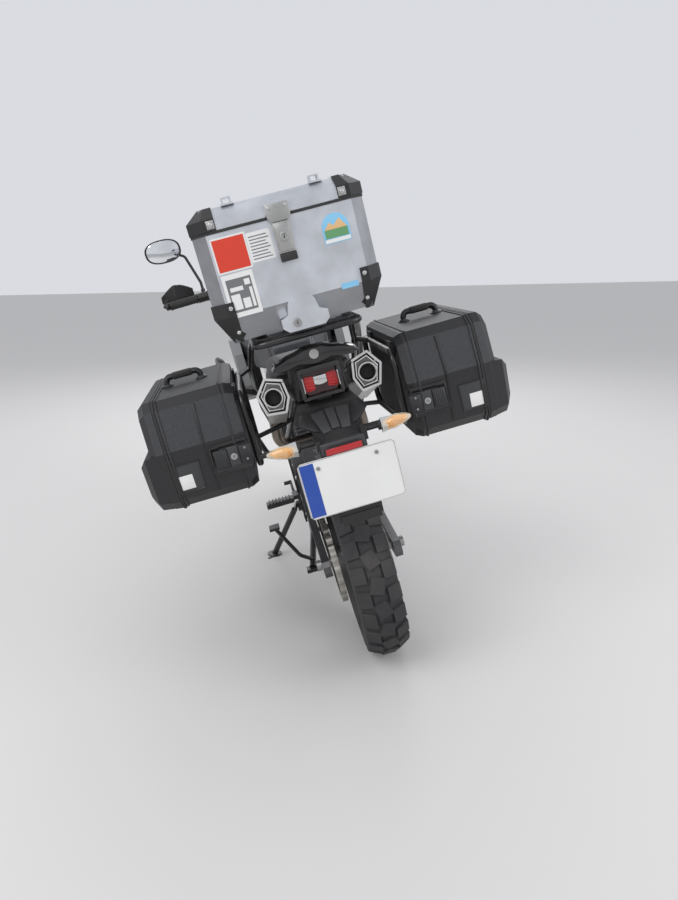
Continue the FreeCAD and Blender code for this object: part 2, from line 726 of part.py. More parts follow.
header_radius = float(size.header_radius)
exhaust = fuse(
    tube([(0, 880.3, 700), (0, 925, 700), (60, 955, 640), (160, 900, 565), (160, 500, 565),
          (150, 300, 650), (142, 285, 770), (136, 235, 800), (136, 190.3, 800)], header_radius, 45),
    tube([(150, 300, 650), (-150, 300, 650), (-142, 285, 770), (-136, 235, 800), (-136, 190.3, 800)],
         header_radius, 40),
    rod((0, 880.3, 700), (0, 886, 700), 32),
)
NODES["exhaust_pipes"] = exhaust

# Tank, panels, seat and tail

tank_top = float(size.tank_top)
tank = Body("fuel_tank")
tank.pad("side", [[
    (640, 872), (700, 856), (900, 905), (1068, 948), (1062, 965), (990, 1020), (930, size.tank_top - 12),
    (850, size.tank_top), (740, size.tank_top - 8), (680, size.tank_top - 60), (645, 930),
]], size.tank_half * 2, 0, True)
tank.keep("top", both_sides([
    (70, 636), (95, 680), (150, 740), (size.tank_half, 840), (size.tank_half - 10, 960),
    (120, 1020), (90, 1075),
]))
tank.keep("rear", both_sides([
    (size.tank_half - 30, 850), (size.tank_half, 900), (size.tank_half, 960), (size.tank_half - 40, 1020),
    (size.tank_half - 100, size.tank_top + 4),
]))
cap = rod((0, 830, tank_top - 6), (0, 830, tank_top + 8), 38)
steering_room = rod(steer(0, 600, 0), steer(0, 1300, 0), size.steering_room)
NODES["fuel_tank"] = cut(fuse(tank, cap), steering_room)
tank_posts = mirrored_pair(rod((100, 893, 830), (100, 893, 912), size.tank_post_radius))
frame = fuse(frame, cut(fuse(*tank_posts), NODES["fuel_tank"]))

panel = Body("side_panel")
panel.pad("side", [[
    (780, 800), (860, 742), (1010, 700), (1085, 760), (1120, 880), (1090, 960), (980, 990), (850, 985),
    (790, 930),
]], size.tank_half + 50, 0)
panel.keep("top", [
    (size.tank_half + size.seat_gap, 775), (size.tank_half + size.seat_gap, 940), (176, 1040), (140, 1075),
    (140, 1125), (160, 1125), (194, 1075), (226, 990), (234, 880), (222, 775),
])
panel.pocket("side", [[(900, 760), (1000, 735), (1040, 775), (1040, 800), (900, 800)]])
NODES["side_panel_right"] = shape_of(panel)
NODES["side_panel_left"] = mirrored(panel)

seat = Body("seat")
seat.pad("side", [[
    (632, 835), (300, 848), (200, 882), (-96, 948), (-98, size.pillion_height),
    (-70, size.pillion_height + 7), (250, size.pillion_height + 5), (330, size.pillion_height - 10),
    (385, size.seat_height + 12),
    (470, size.seat_height - 6), (560, size.seat_height - 4), (632, size.seat_height + 10),
]], 290, 0, True)
seat.keep("top", both_sides([
    (78, -100), (118, -70), (138, 60), (145, 300), (132, 420), (95, 560), (74, 634)]))
seat.keep("rear", both_sides([
    (145, 820), (145, size.seat_height - 22), (128, size.seat_height + 4), (122, size.pillion_height - 22),
    (100, size.pillion_height + 4), (60, size.pillion_height + 9),
]))
NODES["seat"] = shape_of(seat)

tail = Body("tail_cover")
tail.pad("side", [[
    (-98.5, 948.5), (-104, 893), (-214, 893), (-226, 925), (-216, 1002), (-192, 1018), (-120, 1000),
]], 150, 0, True)
tail.keep("top", both_sides([(60, -230), (72, -205), (75, -98)]))
NODES["tail_cover"] = cut(tail, box((-50, 50), (-240, -205), (902, 972)))

lamp = Body("tail_lamp")
lamp.pad("rear", [both_sides([(38, 904), (47, 918), (45, 962), (34, 970)])], 20, -226)
NODES["tail_lamp"] = cut(lamp, box((-7, 7), (-230, -222), (900, 980)))

guard = Body("rear_mudguard")
guard.pad("side", [[
    (-130.3, 884), (-214, 884), (-238, 868), (-386, 800), (-393, 602), (-388, 598), (-381, 796), (-234, 862),
    (-212, 879), (-130.3, 879),
]], 220, 0, True)
guard.keep("rear", both_sides([(58, 590), (60, 800), (62, 830), (98, 850), (86, 868), (66, 892)]))
arm = rod((60, -345, 808), (124, -345, 808), 6)
indicator = hull_between([
    [(110, -345, 786), (110, -326, 806), (110, -345, 827), (110, -366, 806)],
    [(150, -346, 793), (150, -329, 808), (150, -346, 824), (150, -362, 808)],
    [(188, -350, 806), (188, -345, 811), (188, -350, 816), (188, -356, 811)],
])
NODES["rear_mudguard"] = fuse(
    guard, box((52, 66), (-388, -330), (794, 822)), box((-66, -52), (-388, -330), (794, 822)),
    *mirrored_pair(arm), *mirrored_pair(indicator),
    box((-52, 52), (-397, -385), (592, 616)), box((-20, 20), (-214, -150), (884, 892.7)),
    box((-90, 90), (-395.2, -386), (650, 760)),
)

number_plate = Body("number_plate")
half_tall = size.plate_height / 2
number_plate.pad("rear", [both_sides([
    (size.plate_width / 2 - 8, size.plate_middle - half_tall),
    (size.plate_width / 2, size.plate_middle - half_tall + 8),
    (size.plate_width / 2, size.plate_middle + half_tall - 8),
    (size.plate_width / 2 - 8, size.plate_middle + half_tall),
])], size.plate_thickness, size.plate_rear)
NODES["number_plate"] = number_plate

fairing = Body("front_fairing")
fairing.pad("side", [[
    (1266, 930), (1330, 905), (1418, 960), (1404, 1100), (1345, 1180), (1262, 1215), (1236, 1190),
    (1258, 1120),
    (1262, 1000),
]], 320, 0, True)
fairing.keep("top", both_sides([(60, 1425), (105, 1405), (140, 1340), (160, 1235)][::-1]))
fairing.keep("rear", both_sides([(70, 900), (120, 960), (160, 1060), (160, 1220)]))
fairing.pocket("rear", [both_sides([(56, 942), (88, 990), (92, 1090), (66, 1140)])], 60, 1440, False)
NODES["front_fairing"] = cut(fairing, rod(steer(0, 1040, 100), steer(0, 1040, 150), 16.3))

headlamp = Body("headlamp")
headlamp.pad("side", [[(1380.3, 950), (1411, 962), (1399, 1095), (1380.3, 1128)]], 170, 0, True)
headlamp.keep("rear", both_sides([(55, 946), (84, 994), (88, 1088), (62, 1136)]))
NODES["headlamp"] = headlamp

screen = hull_between([
    [(-140, 1333, 1186), (140, 1333, 1186), (140, 1329, 1184), (-140, 1329, 1184)],
    [(-136, 1268, 1290), (136, 1268, 1290), (136, 1264, 1288), (-136, 1264, 1288)],
    [(-108, 1190, 1430), (108, 1190, 1430), (108, 1186, 1428), (-108, 1186, 1428)],
    [(-78, 1166, 1476), (78, 1166, 1476), (78, 1162, 1474), (-78, 1162, 1474)],
])
NODES["windscreen"] = screen

radiator = Body("radiator")
radiator.pad("side", [[(990, 592), (1020, 580), (1099, 765), (1069, 777)]], 250, 0, True)
radiator_stays = [rod((74, 1020, 650), (74, 1009, 650), 6), rod((49.6, 1068, 760), (49.6, 1058, 760), 6)]
NODES["radiator"] = cut(fuse(radiator, *[s for stay in radiator_stays for s in mirrored_pair(stay)]), frame)

skid = Body("skid_plate")
skid.pad("side", [[
    (630, 276), (960, 276), (990, 292), (1016, 420), (1020, 419), (994, 288), (962, 271), (630, 271),
]], 236, 0, True)
NODES["skid_plate"] = fuse(
    skid, *mirrored_pair(box((78, 92), (690, 714), (275, 282.7))),
    *mirrored_pair(box((78, 92), (880, 904), (275, 282.7))))

# Swingarm and shock

arm_in, arm_t = float(size.arm_inner), float(size.arm_thickness)
arm_body = Body("swingarm_leg")
arm_body.pad("side", [[
    (-52, 296), (-60, 312), (-60, 334), (-48, 348), (60, 358), (size.pivot_forward, size.pivot_height + 28),
    (size.pivot_forward + 24, size.pivot_height + 14), (size.pivot_forward + 24, size.pivot_height - 14),
    (size.pivot_forward, size.pivot_height - 28), (60, 290),
]], size.arm_thickness, size.arm_inner)
axle_recess = [(-44, 306), (24, 306), (24, 334), (-44, 334)]
arm_body.pocket("side", [axle_recess], 3, size.arm_inner + size.arm_thickness, False)
leg = shape_of(arm_body)
swingarm = fuse(
    leg, mirrored(leg), drum(-127.7, 127.7, size.pivot_forward, size.pivot_height, size.pivot_tube_radius),
    box((-arm_in, arm_in), (345, 420), (338, 392)), box((-22, -12), (385, 425), (385, 440)),
    box((12, 22), (385, 425), (385, 440)),
)
pad_hole = drum(-140, 140, 0, REAR_AXLE.z, float(size.axle_radius) + 0.3)
arm_face = arm_in + arm_t
spools = [
    drum(arm_face - 14, arm_face + 1, 110, 326, 3.4), drum(-arm_face - 1, -arm_face + 14, 110, 326, 3.4)]
NODES["swingarm"] = cut(swingarm, pad_hole, *spools)

shock_low, shock_high = Vector(0, 405, 425), Vector(0, 480, 775)
lean_in = (shock_high - shock_low).normalize()
coils = [
    rod(tuple(shock_low + lean_in * (90 + 24 * n)), tuple(shock_low + lean_in * (101 + 24 * n)), 38)
    for n in range(8)
]
shock = fuse(
    rod(tuple(shock_low), tuple(shock_high), 14),
    rod(tuple(shock_low + lean_in * 60), tuple(shock_high - lean_in * 60), 30),
    *coils, drum(-11.7, 11.7, shock_low.y, shock_low.z, 13),
    drum(-11.7, 11.7, shock_high.y + 2, shock_high.z + 4, 14),
)
NODES["rear_shock"] = cut(shock, drum(-rail_x, rail_x, 500, 797, 11.3))

# Luggage rack and pannier racks

rack_r, rack_top = float(size.rack_tube_radius), float(size.rack_plate_height)
rack_rail = tube([
    (rail_x + 4, 372, 813), (150, 345, 812), (172, 290, 880), (168, 150, 965), (150, 20, 1040),
    (140, -60, rack_top - 15), (140, -236, rack_top - 15), (0, -240, rack_top - 15),
], rack_r, 30)
rack_plate = Body("rack_plate")
rack_plate.pad("top", [both_sides([
    (112, -232), (132, -212), (132, 70), (112, 98),
])], 6, size.rack_plate_height - 6)
rack_plate.pocket("top", [
    [(-92, -190), (-30, -190), (-30, -110), (-92, -110)], [(30, -190), (92, -190), (92, -110), (30, -110)],
    [(-92, -60), (-30, -60), (-30, 50), (-92, 50)], [(30, -60), (92, -60), (92, 50), (30, 50)],
], None, size.rack_plate_height)
rack = fuse(
    rack_plate, *mirrored_pair(rack_rail),
    *mirrored_pair(rod((0, 20, rack_top - 12), (148, 20, rack_top - 42), 7)))
NODES["luggage_rack"] = cut(rack, frame)

side_x = float(size.pannier_inner) - 17
loop = tube([
    (side_x, 262, 945), (side_x, -150, 945), (side_x, -150, 735), (side_x, 240, 722),
], rack_r, 40, True)
pannier_racks = fuse(
    loop, mirrored(loop), rod((-side_x, -150, 760), (side_x, -150, 760), 8),
    *mirrored_pair(rod((side_x, 150, 945), (166, 150, 965), 8)),
    *mirrored_pair(tube([(side_x, 225, 724), (140, 235, 735), (84, 240, 748)], 8)),
)
NODES["pannier_racks"] = cut(pannier_racks, frame, rack, NODES["exhaust_pipes"])

guard_r, reach = float(size.guard_radius), float(size.guard_reach)
guard_tube = tube([
    (96, 968, 405), (210, 975, 440), (reach - 15, 940, 700), (reach, 850, 935), (reach - 22, 765, 920),
    (250, 748, 800), (110, 790, 733),
], guard_r, 60)
engine_guard = cut(guard_tube, frame)
NODES["engine_guard_right"] = engine_guard
NODES["engine_guard_left"] = mirrored(engine_guard)

# Cases


def top_case_outline(half, rear, front, chamfer):
    """The top case seen from above."""
    return [
        (-half + chamfer, rear), (half - chamfer, rear), (half, rear + chamfer), (half, front - chamfer),
        (half - chamfer, front), (-half + chamfer, front), (-half, front - chamfer), (-half, rear + chamfer),
    ]


def case_section(grow, z):
    """The top case's outline at a height, drawn in or out by grow."""
    half, chamfer = float(size.case_width) / 2 + grow, float(size.case_chamfer)
    rear, front = float(size.case_rear) - grow, float(size.case_rear + size.case_depth) + grow
    return [(x, y, z) for x, y in top_case_outline(half, rear, front, max(chamfer + 0.6 * grow, 6))]


case_low, case_split, case_high = float(size.case_bottom), float(size.case_split), float(size.case_top)
belt, inset, wall = float(size.case_belt), float(size.case_inset), float(size.case_wall)
band = float(size.case_lid_band)
body_out = hull_between([
    case_section(-inset, case_low), case_section(0, case_low + belt), case_section(0, case_split - 0.3)])
body_in = hull_between([
    case_section(-inset - wall, case_low + wall), case_section(-wall, case_low + belt + 1),
    case_section(-wall, case_split + 1)])
lid_out = hull_between([
    case_section(0, case_split + 0.3), case_section(0, case_split + band), case_section(-inset, case_high)])
lid_in = hull_between([
    case_section(-wall, case_split - 1), case_section(-wall, case_split + band - 1),
    case_section(-inset - wall, case_high - wall)])
half, rear_y = float(size.case_width) / 2, float(size.case_rear)
front_y = rear_y + float(size.case_depth)
grown = float(size.corner_wall)
low_skin = hull_between([
    case_section(grown - inset, case_low - 3), case_section(grown, case_low + belt),
    case_section(grown, case_low + belt + 34)])
low_core = hull_between([
    case_section(-inset - 1, case_low - 4), case_section(-1, case_low + belt + 1),
    case_section(-1, case_low + belt + 36)])
high_skin = hull_between([
    case_section(grown, case_split + 0.3), case_section(grown, case_split + band),
    case_section(grown - inset, case_high + 3)])
high_core = hull_between([
    case_section(-1, case_split - 1), case_section(-1, case_split + band),
    case_section(-inset - 1, case_high - 1)])


def corner_zone(reach):
    """The space round the four upright corners of the case, as far as its caps reach."""
    zones = [
        box((x, x + 110) if x > 0 else (x - 110, x), (y, y + 110) if y > -70 else (y - 110, y), (1050, 1450))
        for x in (half - reach, reach - half) for y in (rear_y + reach, front_y - reach)
    ]
    return zones[0].fuse(zones[1:])


low_corners = low_skin.cut(low_core).common(corner_zone(float(size.low_cap_reach)))
high_corners = high_skin.cut(high_core).common(corner_zone(float(size.high_cap_reach)))
lock = Body("case_lock")
lock.pad("rear", [both_sides([
    (46, case_low - 8), (60, case_low + 4), (60, case_low + 26), (40, case_low + 34),
    (34, case_low + 62), (26, case_low + 70),
])], 26, rear_y - 8)
feet = [
    box((x - 22, x + 22), (y - 14, y + 14), (rack_top + 0.3, case_low + 2))
    for x in (-80, 80) for y in (-170, 40)]
hinge_y, hinge_z = front_y + 7, case_split
hinge_spans = ((-150, -110), (110, 150))


def case_hinges(low_side):
    """Knuckles and straps of the two lid hinges, for the body or for the lid."""
    pieces = []
    for start, end in hinge_spans:
        quarter = (end - start) / 4
        outer = [(start, start + quarter - 0.5), (end - quarter + 0.5, end)]
        spans = outer if low_side else [(start + quarter, end - quarter)]
        for low, high in spans:
            pieces.append(drum(low, high, hinge_y, hinge_z, 5.5))
            z = (hinge_z - 26, hinge_z - 0.6) if low_side else (hinge_z + 0.6, hinge_z + 24)
            pieces.append(box((low, high), (front_y - 1, front_y + 3), z))
            z = (hinge_z - 5, hinge_z - 1.2) if low_side else (hinge_z + 1.2, hinge_z + 5)
            pieces.append(box((low, high), (front_y - 1, hinge_y), z))
    return pieces


pin_bore = [drum(start - 1, end + 1, hinge_y, hinge_z, 2.6) for start, end in hinge_spans]
pins = [drum(start, end, hinge_y, hinge_z, 2.2) for start, end in hinge_spans]
case_body = body_out.fuse([low_corners, shape_of(lock)] + feet).cut(body_in)
case_body = case_body.fuse(case_hinges(True))
clear_lid = [drum(start + 9.5, end - 9.5, hinge_y, hinge_z, 6.2) for start, end in hinge_spans]
case_body = case_body.cut(clear_lid).fuse(pins)
NODES["top_case_body"] = case_body
latch = fuse(
    box((-31, 31), (rear_y - 9, rear_y + 1), (case_split + 3, case_split + band)),
    rod((0, rear_y - 8, case_split + 16), (0, rear_y - 13, case_split + 16), 10))
brackets = [fuse(
    box((x - 16, x + 16), (rear_y + inset - 10, rear_y + inset + 40), (case_high - 1, case_high + 3)),
    box((x - 12, x - 8), (rear_y + inset, rear_y + inset + 30), (case_high + 2, case_high + 18)),
    box((x + 8, x + 12), (rear_y + inset, rear_y + inset + 30), (case_high + 2, case_high + 18)),
    box((x - 12, x + 12), (rear_y + inset, rear_y + inset + 30), (case_high + 14, case_high + 18)),
) for x in (-110, 110)]
case_lid = lid_out.fuse([high_corners, latch] + brackets).cut(lid_in)
clear_body = [
    drum(low - 1, low + 10, hinge_y, hinge_z, 6.2) for start, end in hinge_spans for low in (start, end - 9)]
case_lid = case_lid.cut(clear_body).fuse(case_hinges(False)).cut(pin_bore)
NODES["top_case_lid"] = case_lid

p_in, p_split, p_out = float(size.pannier_inner), float(size.pannier_split), float(size.pannier_outer)
p_rear, p_front = float(size.pannier_rear), float(size.pannier_front)
p_low, p_high, p_wall = float(size.pannier_bottom), float(size.pannier_top), float(size.pannier_wall)
crease = 0.45 * p_low + 0.55 * p_high


def pannier_section(x, grow, slope):
    """A pannier's outline in the side view, at one distance from the middle."""
    rear, front = p_rear - grow + slope, p_front + grow - slope
    low, high = p_low - grow + slope, p_high + grow - slope
    return [
        (x, rear + 34, low), (x, front - 26, low), (x, front - 4, low + 30), (x, front, crease),
        (x, front - 12, high - 26), (x, front - 40, high), (x, rear + 46, high), (x, rear + 20, high - 24),
        (x, rear, crease), (x, rear + 8, low + 26),
    ]


shell_out = hull_between([
    pannier_section(p_in, 0, 8), pannier_section(p_in + 20, 0, 0), pannier_section(p_split - 0.3, 0, 0)])
shell_in = hull_between([
    pannier_section(p_in + p_wall, -p_wall, 8), pannier_section(p_in + 24, -p_wall, 0),
    pannier_section(p_split + 1, -p_wall, 0)])
cover_out = hull_between([
    pannier_section(p_split + 0.3, 3, 0), pannier_section(p_out - 18, 3, 2), pannier_section(p_out, 0, 14)])
cover_in = hull_between([
    pannier_section(p_split - 1, -p_wall, 0), pannier_section(p_out - 20, -p_wall, 2),
    pannier_section(p_out - p_wall, -p_wall, 14)])


def bulge_section(x, grow, slope):
    """The lower half of a pannier's outline, which swells outwards on the lid."""
    rear, front = p_rear - grow + slope, p_front + grow - slope
    low, high = p_low - grow + slope, crease + grow - slope
    return [
        (x, rear + 34, low), (x, front - 26, low), (x, front - 4, low + 30), (x, front, high),
        (x, rear, high),
        (x, rear + 8, low + 26),
    ]


swell = float(size.pannier_bulge)
bulge_out = hull_between([
    bulge_section(p_out - 24, 2, 1), bulge_section(p_out + 0.5 * swell, 0, 4),
    bulge_section(p_out + swell, 0, 26)])
bulge_in = hull_between([
    bulge_section(p_out - 24, -p_wall, 3), bulge_section(p_out + 0.5 * swell - p_wall, -p_wall, 5),
    bulge_section(p_out + swell - p_wall, -p_wall, 26)])
handle = tube([
    (p_in + 84, 60, p_high - 6), (p_in + 84, 60, p_high + 27), (p_in + 186, 60, p_high + 27),
    (p_in + 186, 60, p_high - 6)], 9, 16)
hooks = [box((p_in - 7.7, p_in + 1), (y, y + 50), (925, 965)) for y in (-110, 180)]
side_latch = box((p_in - 4, p_in + 78), (p_rear - 9, p_rear + 12), (crease - 84, crease - 26))
pin_x, pin_z = p_split, p_low - 9
p_spans = ((-130, -90), (200, 240))


def pannier_hinges(on_body):
    """Knuckles of the two hinges under a pannier's lid, for the shell or for the lid."""
    pieces = []
    for start, end in p_spans:
        quarter = (end - start) / 4
        outer = [(start, start + quarter - 0.5), (end - quarter + 0.5, end)]
        spans = outer if on_body else [(start + quarter, end - quarter)]
        for low, high in spans:
            pieces.append(rod((pin_x, low, pin_z), (pin_x, high, pin_z), 5.5))
            x = (pin_x - 30, pin_x - 1.2) if on_body else (pin_x + 1.2, pin_x + 24)
            pieces.append(box(x, (low, high), (p_low - 4, p_low + 3)))
            x = (pin_x - 5, pin_x - 1.2) if on_body else (pin_x + 1.2, pin_x + 5)
            pieces.append(box(x, (low, high), (pin_z, p_low)))
    return pieces


p_pins = [rod((pin_x, start, pin_z), (pin_x, end, pin_z), 2.2) for start, end in p_spans]
p_bores = [rod((pin_x, start - 1, pin_z), (pin_x, end + 1, pin_z), 2.6) for start, end in p_spans]
shell = shell_out.cut(shell_in).fuse(hooks + [handle, side_latch] + pannier_hinges(True)).cut(shell_in)
lid_room = [rod((pin_x, start + 9.5, pin_z), (pin_x, end - 9.5, pin_z), 6.2) for start, end in p_spans]
shell = shell.cut(lid_room).fuse(p_pins)
cover = cover_out.fuse([bulge_out]).cut(cover_in.fuse([bulge_in]))
shell_room = [
    rod((pin_x, low - 1, pin_z), (pin_x, low + 10, pin_z), 6.2)
    for start, end in p_spans for low in (start, end - 9)]
cover = cover.cut(shell_room)
cover = cover.fuse(pannier_hinges(False)).cut(p_bores)
NODES["right_pannier_body"] = shell
NODES["left_pannier_body"] = mirrored(shell)
NODES["right_pannier_lid"] = cover
NODES["left_pannier_lid"] = mirrored(cover)

# Steering

head_low, head_high = float(size.head_low), float(size.head_high)
clamp_t, clamp_gap = float(size.clamp_thickness), float(size.clamp_clearance)
fork_half, fork_offset = float(size.fork_half), float(size.fork_offset)
tube_radius, slider_r = float(size.fork_tube_radius), float(size.slider_radius)
slider_top = float(size.slider_top)
low_span = (head_low - clamp_gap - clamp_t, head_low - clamp_gap)
high_span = (head_high + clamp_gap, head_high + clamp_gap + clamp_t)
clamps = [
    fork_block((-fork_half, fork_half), low_span, (-28, 62)),
    fork_block((-fork_half, fork_half), high_span, (-24, 60)),
    rod(steer(0, low_span[0], 0), steer(0, high_span[1], 0), size.stem_radius)]
for x in (-fork_half, fork_half):
    clamps.append(rod(steer(x, low_span[0], fork_offset), steer(x, low_span[1], fork_offset), 31))
    clamps.append(rod(steer(x, high_span[0], fork_offset), steer(x, high_span[1], fork_offset), 30))
    clamps.append(rod(steer(x, 430, fork_offset), steer(x, 1175, fork_offset), tube_radius))
for x in (-48, 48):
    clamps.append(rod(steer(x, head_high + clamp_gap + clamp_t - 1, 8), steer(x, 1236, 8), 13))
NODES["fork"] = cut(fuse(*clamps), rod(steer(-70, 1236, 8), steer(70, 1236, 8), float(size.bar_radius) + 0.3))

sliders = []
for side in (1, -1):
    x = side * fork_half
    caliper = fork_block(sorted((side * 42, side * 86)), (440, 545), (-78, -14))
    caliper = caliper.cut(drum(*sorted((side * 54.5, side * 70.5)), FRONT_AXLE.y, FRONT_AXLE.z, 155))
    slider = fuse(
        rod(steer(x, 322, fork_offset), steer(x, slider_top, fork_offset), slider_r),
        drum(x - 20, x + 20, FRONT_AXLE.y, FRONT_AXLE.z, 24),
        rod(steer(x, slider_top - 30, fork_offset), steer(x, slider_top - 4, fork_offset), slider_r + 2.5),
        fork_block(sorted((side * 84, side * 100)), (450, 540), (-60, 30)), caliper)
    slider = cut(
        slider, rod(steer(x, 425, fork_offset), steer(x, slider_top + 9, fork_offset), tube_radius + 0.3),
        drum(x - 40, x + 40, FRONT_AXLE.y, FRONT_AXLE.z, float(size.axle_radius) + 0.3))
    sliders.append(slider)
NODES["fork_slider_right"], NODES["fork_slider_left"] = sliders

NODES["front_axle"] = cut(
    fuse(drum(-132, 132, FRONT_AXLE.y, FRONT_AXLE.z, size.axle_radius),
         drum(-132, -125.3, FRONT_AXLE.y, FRONT_AXLE.z, 15), drum(125.3, 132, FRONT_AXLE.y, FRONT_AXLE.z, 15),
         drum(-84.7, -72, FRONT_AXLE.y, FRONT_AXLE.z, 15), drum(72, 84.7, FRONT_AXLE.y, FRONT_AXLE.z, 15)),
    drum(-140, 140, FRONT_AXLE.y, FRONT_AXLE.z, axle_bore))

bar_reach, bar_height = float(size.bar_reach), float(size.bar_height)
grip_in = (290, 1046, bar_height + 2)
grip_out = (bar_reach, 1012, bar_height)
bar = tube([(-grip_out[0], grip_out[1], grip_out[2]), (-grip_in[0], grip_in[1], grip_in[2])]
           + [tuple(steer(-105, 1236, 8)), tuple(steer(105, 1236, 8))]
           + [(grip_in[0], grip_in[1], grip_in[2]), grip_out], size.bar_radius, 60)
controls = []
for side in (1, -1):
    near = Vector(side * grip_in[0], grip_in[1], grip_in[2])
    far = Vector(side * grip_out[0], grip_out[1], grip_out[2])
    along = (far - near).normalize()
    controls += [
        rod(tuple(near + along * 24), tuple(far), 16),
        rod(tuple(near - along * 22), tuple(near + along * 22), 21),
        box(sorted((side * 262, side * 300)), (1050, 1100), (bar_height - 12, bar_height + 22)),
        tube([
            tuple(near + Vector(0, 40, -6)), tuple(near + Vector(side * 30, 66, -12)),
            tuple(far + Vector(side * -6, 62, -10))], 6),
        rod(tuple(near + Vector(0, 0, -4)), tuple(near + Vector(0, 42, -8)), 9),
    ]
NODES["handlebar"] = fuse(bar, *controls)

hand_guards = []
mirrors = []
for side in (1, -1):
    # Across, front and rear at the foot, its height, front and rear at the top, its height
    shield = hull_between([
        [(side * x[0], low_front, low), (side * x[1], low_rear, low),
         (side * x[2], high_rear, high), (side * x[3], high_front, high)]
        for x, low_front, low_rear, low, high_front, high_rear, high in (
            ((322, 322, 322, 322), 1124, 1120, 1188, 1120, 1116, 1238),
            ((400, 400, 400, 400), 1112, 1107, 1182, 1108, 1104, 1254),
            ((462, 458, 456, 460), 1062, 1059, 1184, 1061, 1058, 1242))
    ])
    bar_end = (side * (bar_reach + 0.3), 1012, bar_height)
    stay = tube([
        bar_end, (side * (bar_reach + 22), 1014, bar_height), (side * 438, 1086, bar_height + 28)], 6, 12)
    weight = rod(bar_end, (side * (bar_reach + 14), 1012, bar_height), 15)
    hand_guards.append(fuse(shield, stay, weight))
    middle = Vector(side * (float(size.mirror_reach) - 74), 1078, float(size.mirror_height))
    ring = []
    for n in range(12):
        turn = math.radians(30 * n)
        ring.append((74 * math.copysign(abs(math.cos(turn)) ** 0.8, math.cos(turn)),
                     46 * math.copysign(abs(math.sin(turn)) ** 0.8, math.sin(turn))))
    glass = hull_between([
        [(middle.x + shrink * x, middle.y + y, middle.z + shrink * z) for x, z in ring]
        for y, shrink in ((-8, 0.96), (-5, 1.0), (10, 0.86), (24, 0.5))
    ])
    foot = Vector(side * 280, 1072, bar_height + 22.3)
    mirrors.append(fuse(
        glass, tube([tuple(foot), tuple(foot + Vector(0, 0, 40)), tuple(middle + Vector(-side * 80, 14, -40)),
                     tuple(middle + Vector(-side * 36, 14, -14))], 6, 20),
        rod(tuple(foot), tuple(foot + Vector(0, 0, 12)), 9)))
NODES["hand_guard_right"], NODES["hand_guard_left"] = hand_guards
NODES["mirror_right"], NODES["mirror_left"] = mirrors

fender_out = Part.makeCylinder(392, 124, Vector(-62, FRONT_AXLE.y, FRONT_AXLE.z), Vector(1, 0, 0))
fender_in = Part.makeCylinder(370, 140, Vector(-70, FRONT_AXLE.y, FRONT_AXLE.z), Vector(1, 0, 0))
fender_hollow = Part.makeCylinder(388.5, 117, Vector(-58.5, FRONT_AXLE.y, FRONT_AXLE.z), Vector(1, 0, 0))
sector = slab([
    (FRONT_AXLE.y, FRONT_AXLE.z), (FRONT_AXLE.y - 600, FRONT_AXLE.z + 60),
    (FRONT_AXLE.y - 600, FRONT_AXLE.z + 600), (FRONT_AXLE.y + 280, FRONT_AXLE.z + 600),
], -80, 80)
fender = fender_out.cut(fender_in.fuse([fender_hollow])).common(sector)
slider_face = fork_half - slider_r - 0.3
tabs = [fork_block(sorted((side * 58.6, side * slider_face)), (735, 756), (15, 55)) for side in (1, -1)]
NODES["front_mudguard"] = fender.fuse(tabs)

# Stands


def lowest(name, placement):
    """Height of a piece's lowest point once it is placed."""
    shape = shape_of(NODES[name]).copy()
    shape.Placement = placement.multiply(shape.Placement)
    return shape.BoundBox.ZMin


leaning = Placement(Vector(0, 0, 0), Rotation(Vector(0, 1, 0), -float(size.lean)))
drop = lowest("rear_tyre", leaning) - lowest("front_tyre", leaning)
pitch = math.degrees(math.atan2(drop, float(size.wheelbase)))
leaning = Placement(Vector(0, 0, 0), Rotation(Vector(1, 0, 0), pitch)).multiply(leaning)
ground = min(lowest("rear_tyre", leaning), lowest("front_tyre", leaning))
on_machine = leaning.inverse()

stand_pivot = Vector(-158, 660, 290)
stand_foot = on_machine.multVec(Vector(float(size.stand_foot_x), float(size.stand_foot_y), ground))
down = (stand_foot - stand_pivot).normalize()
up = Vector(-0.02, -1, 0.0).normalize()
stand_axis = up.cross(down).normalize()
stand_angle = math.degrees(up.getAngle(down))
floor_up = on_machine.Rotation.multVec(Vector(0, 0, 1))
foot_pad = Part.makeCylinder(30, 7, stand_foot, floor_up)
stand_toe = stand_foot + floor_up * 5
stand_r = float(size.stand_radius)
side_stand = fuse(
    rod(tuple(stand_pivot + down * 14), tuple(stand_foot + floor_up * 3 - down * 2), stand_r), foot_pad,
    rod(tuple(stand_pivot - stand_axis * 5), tuple(stand_pivot + stand_axis * 5), 20),
    rod(tuple(stand_toe + Vector(0, -20, 0)), tuple(stand_toe + Vector(-30, -44, 0)), 5),
)
below_floor = Part.makeCylinder(90, 60, stand_foot - floor_up * 60, floor_up)
NODES["side_stand"] = cut(side_stand, below_floor)

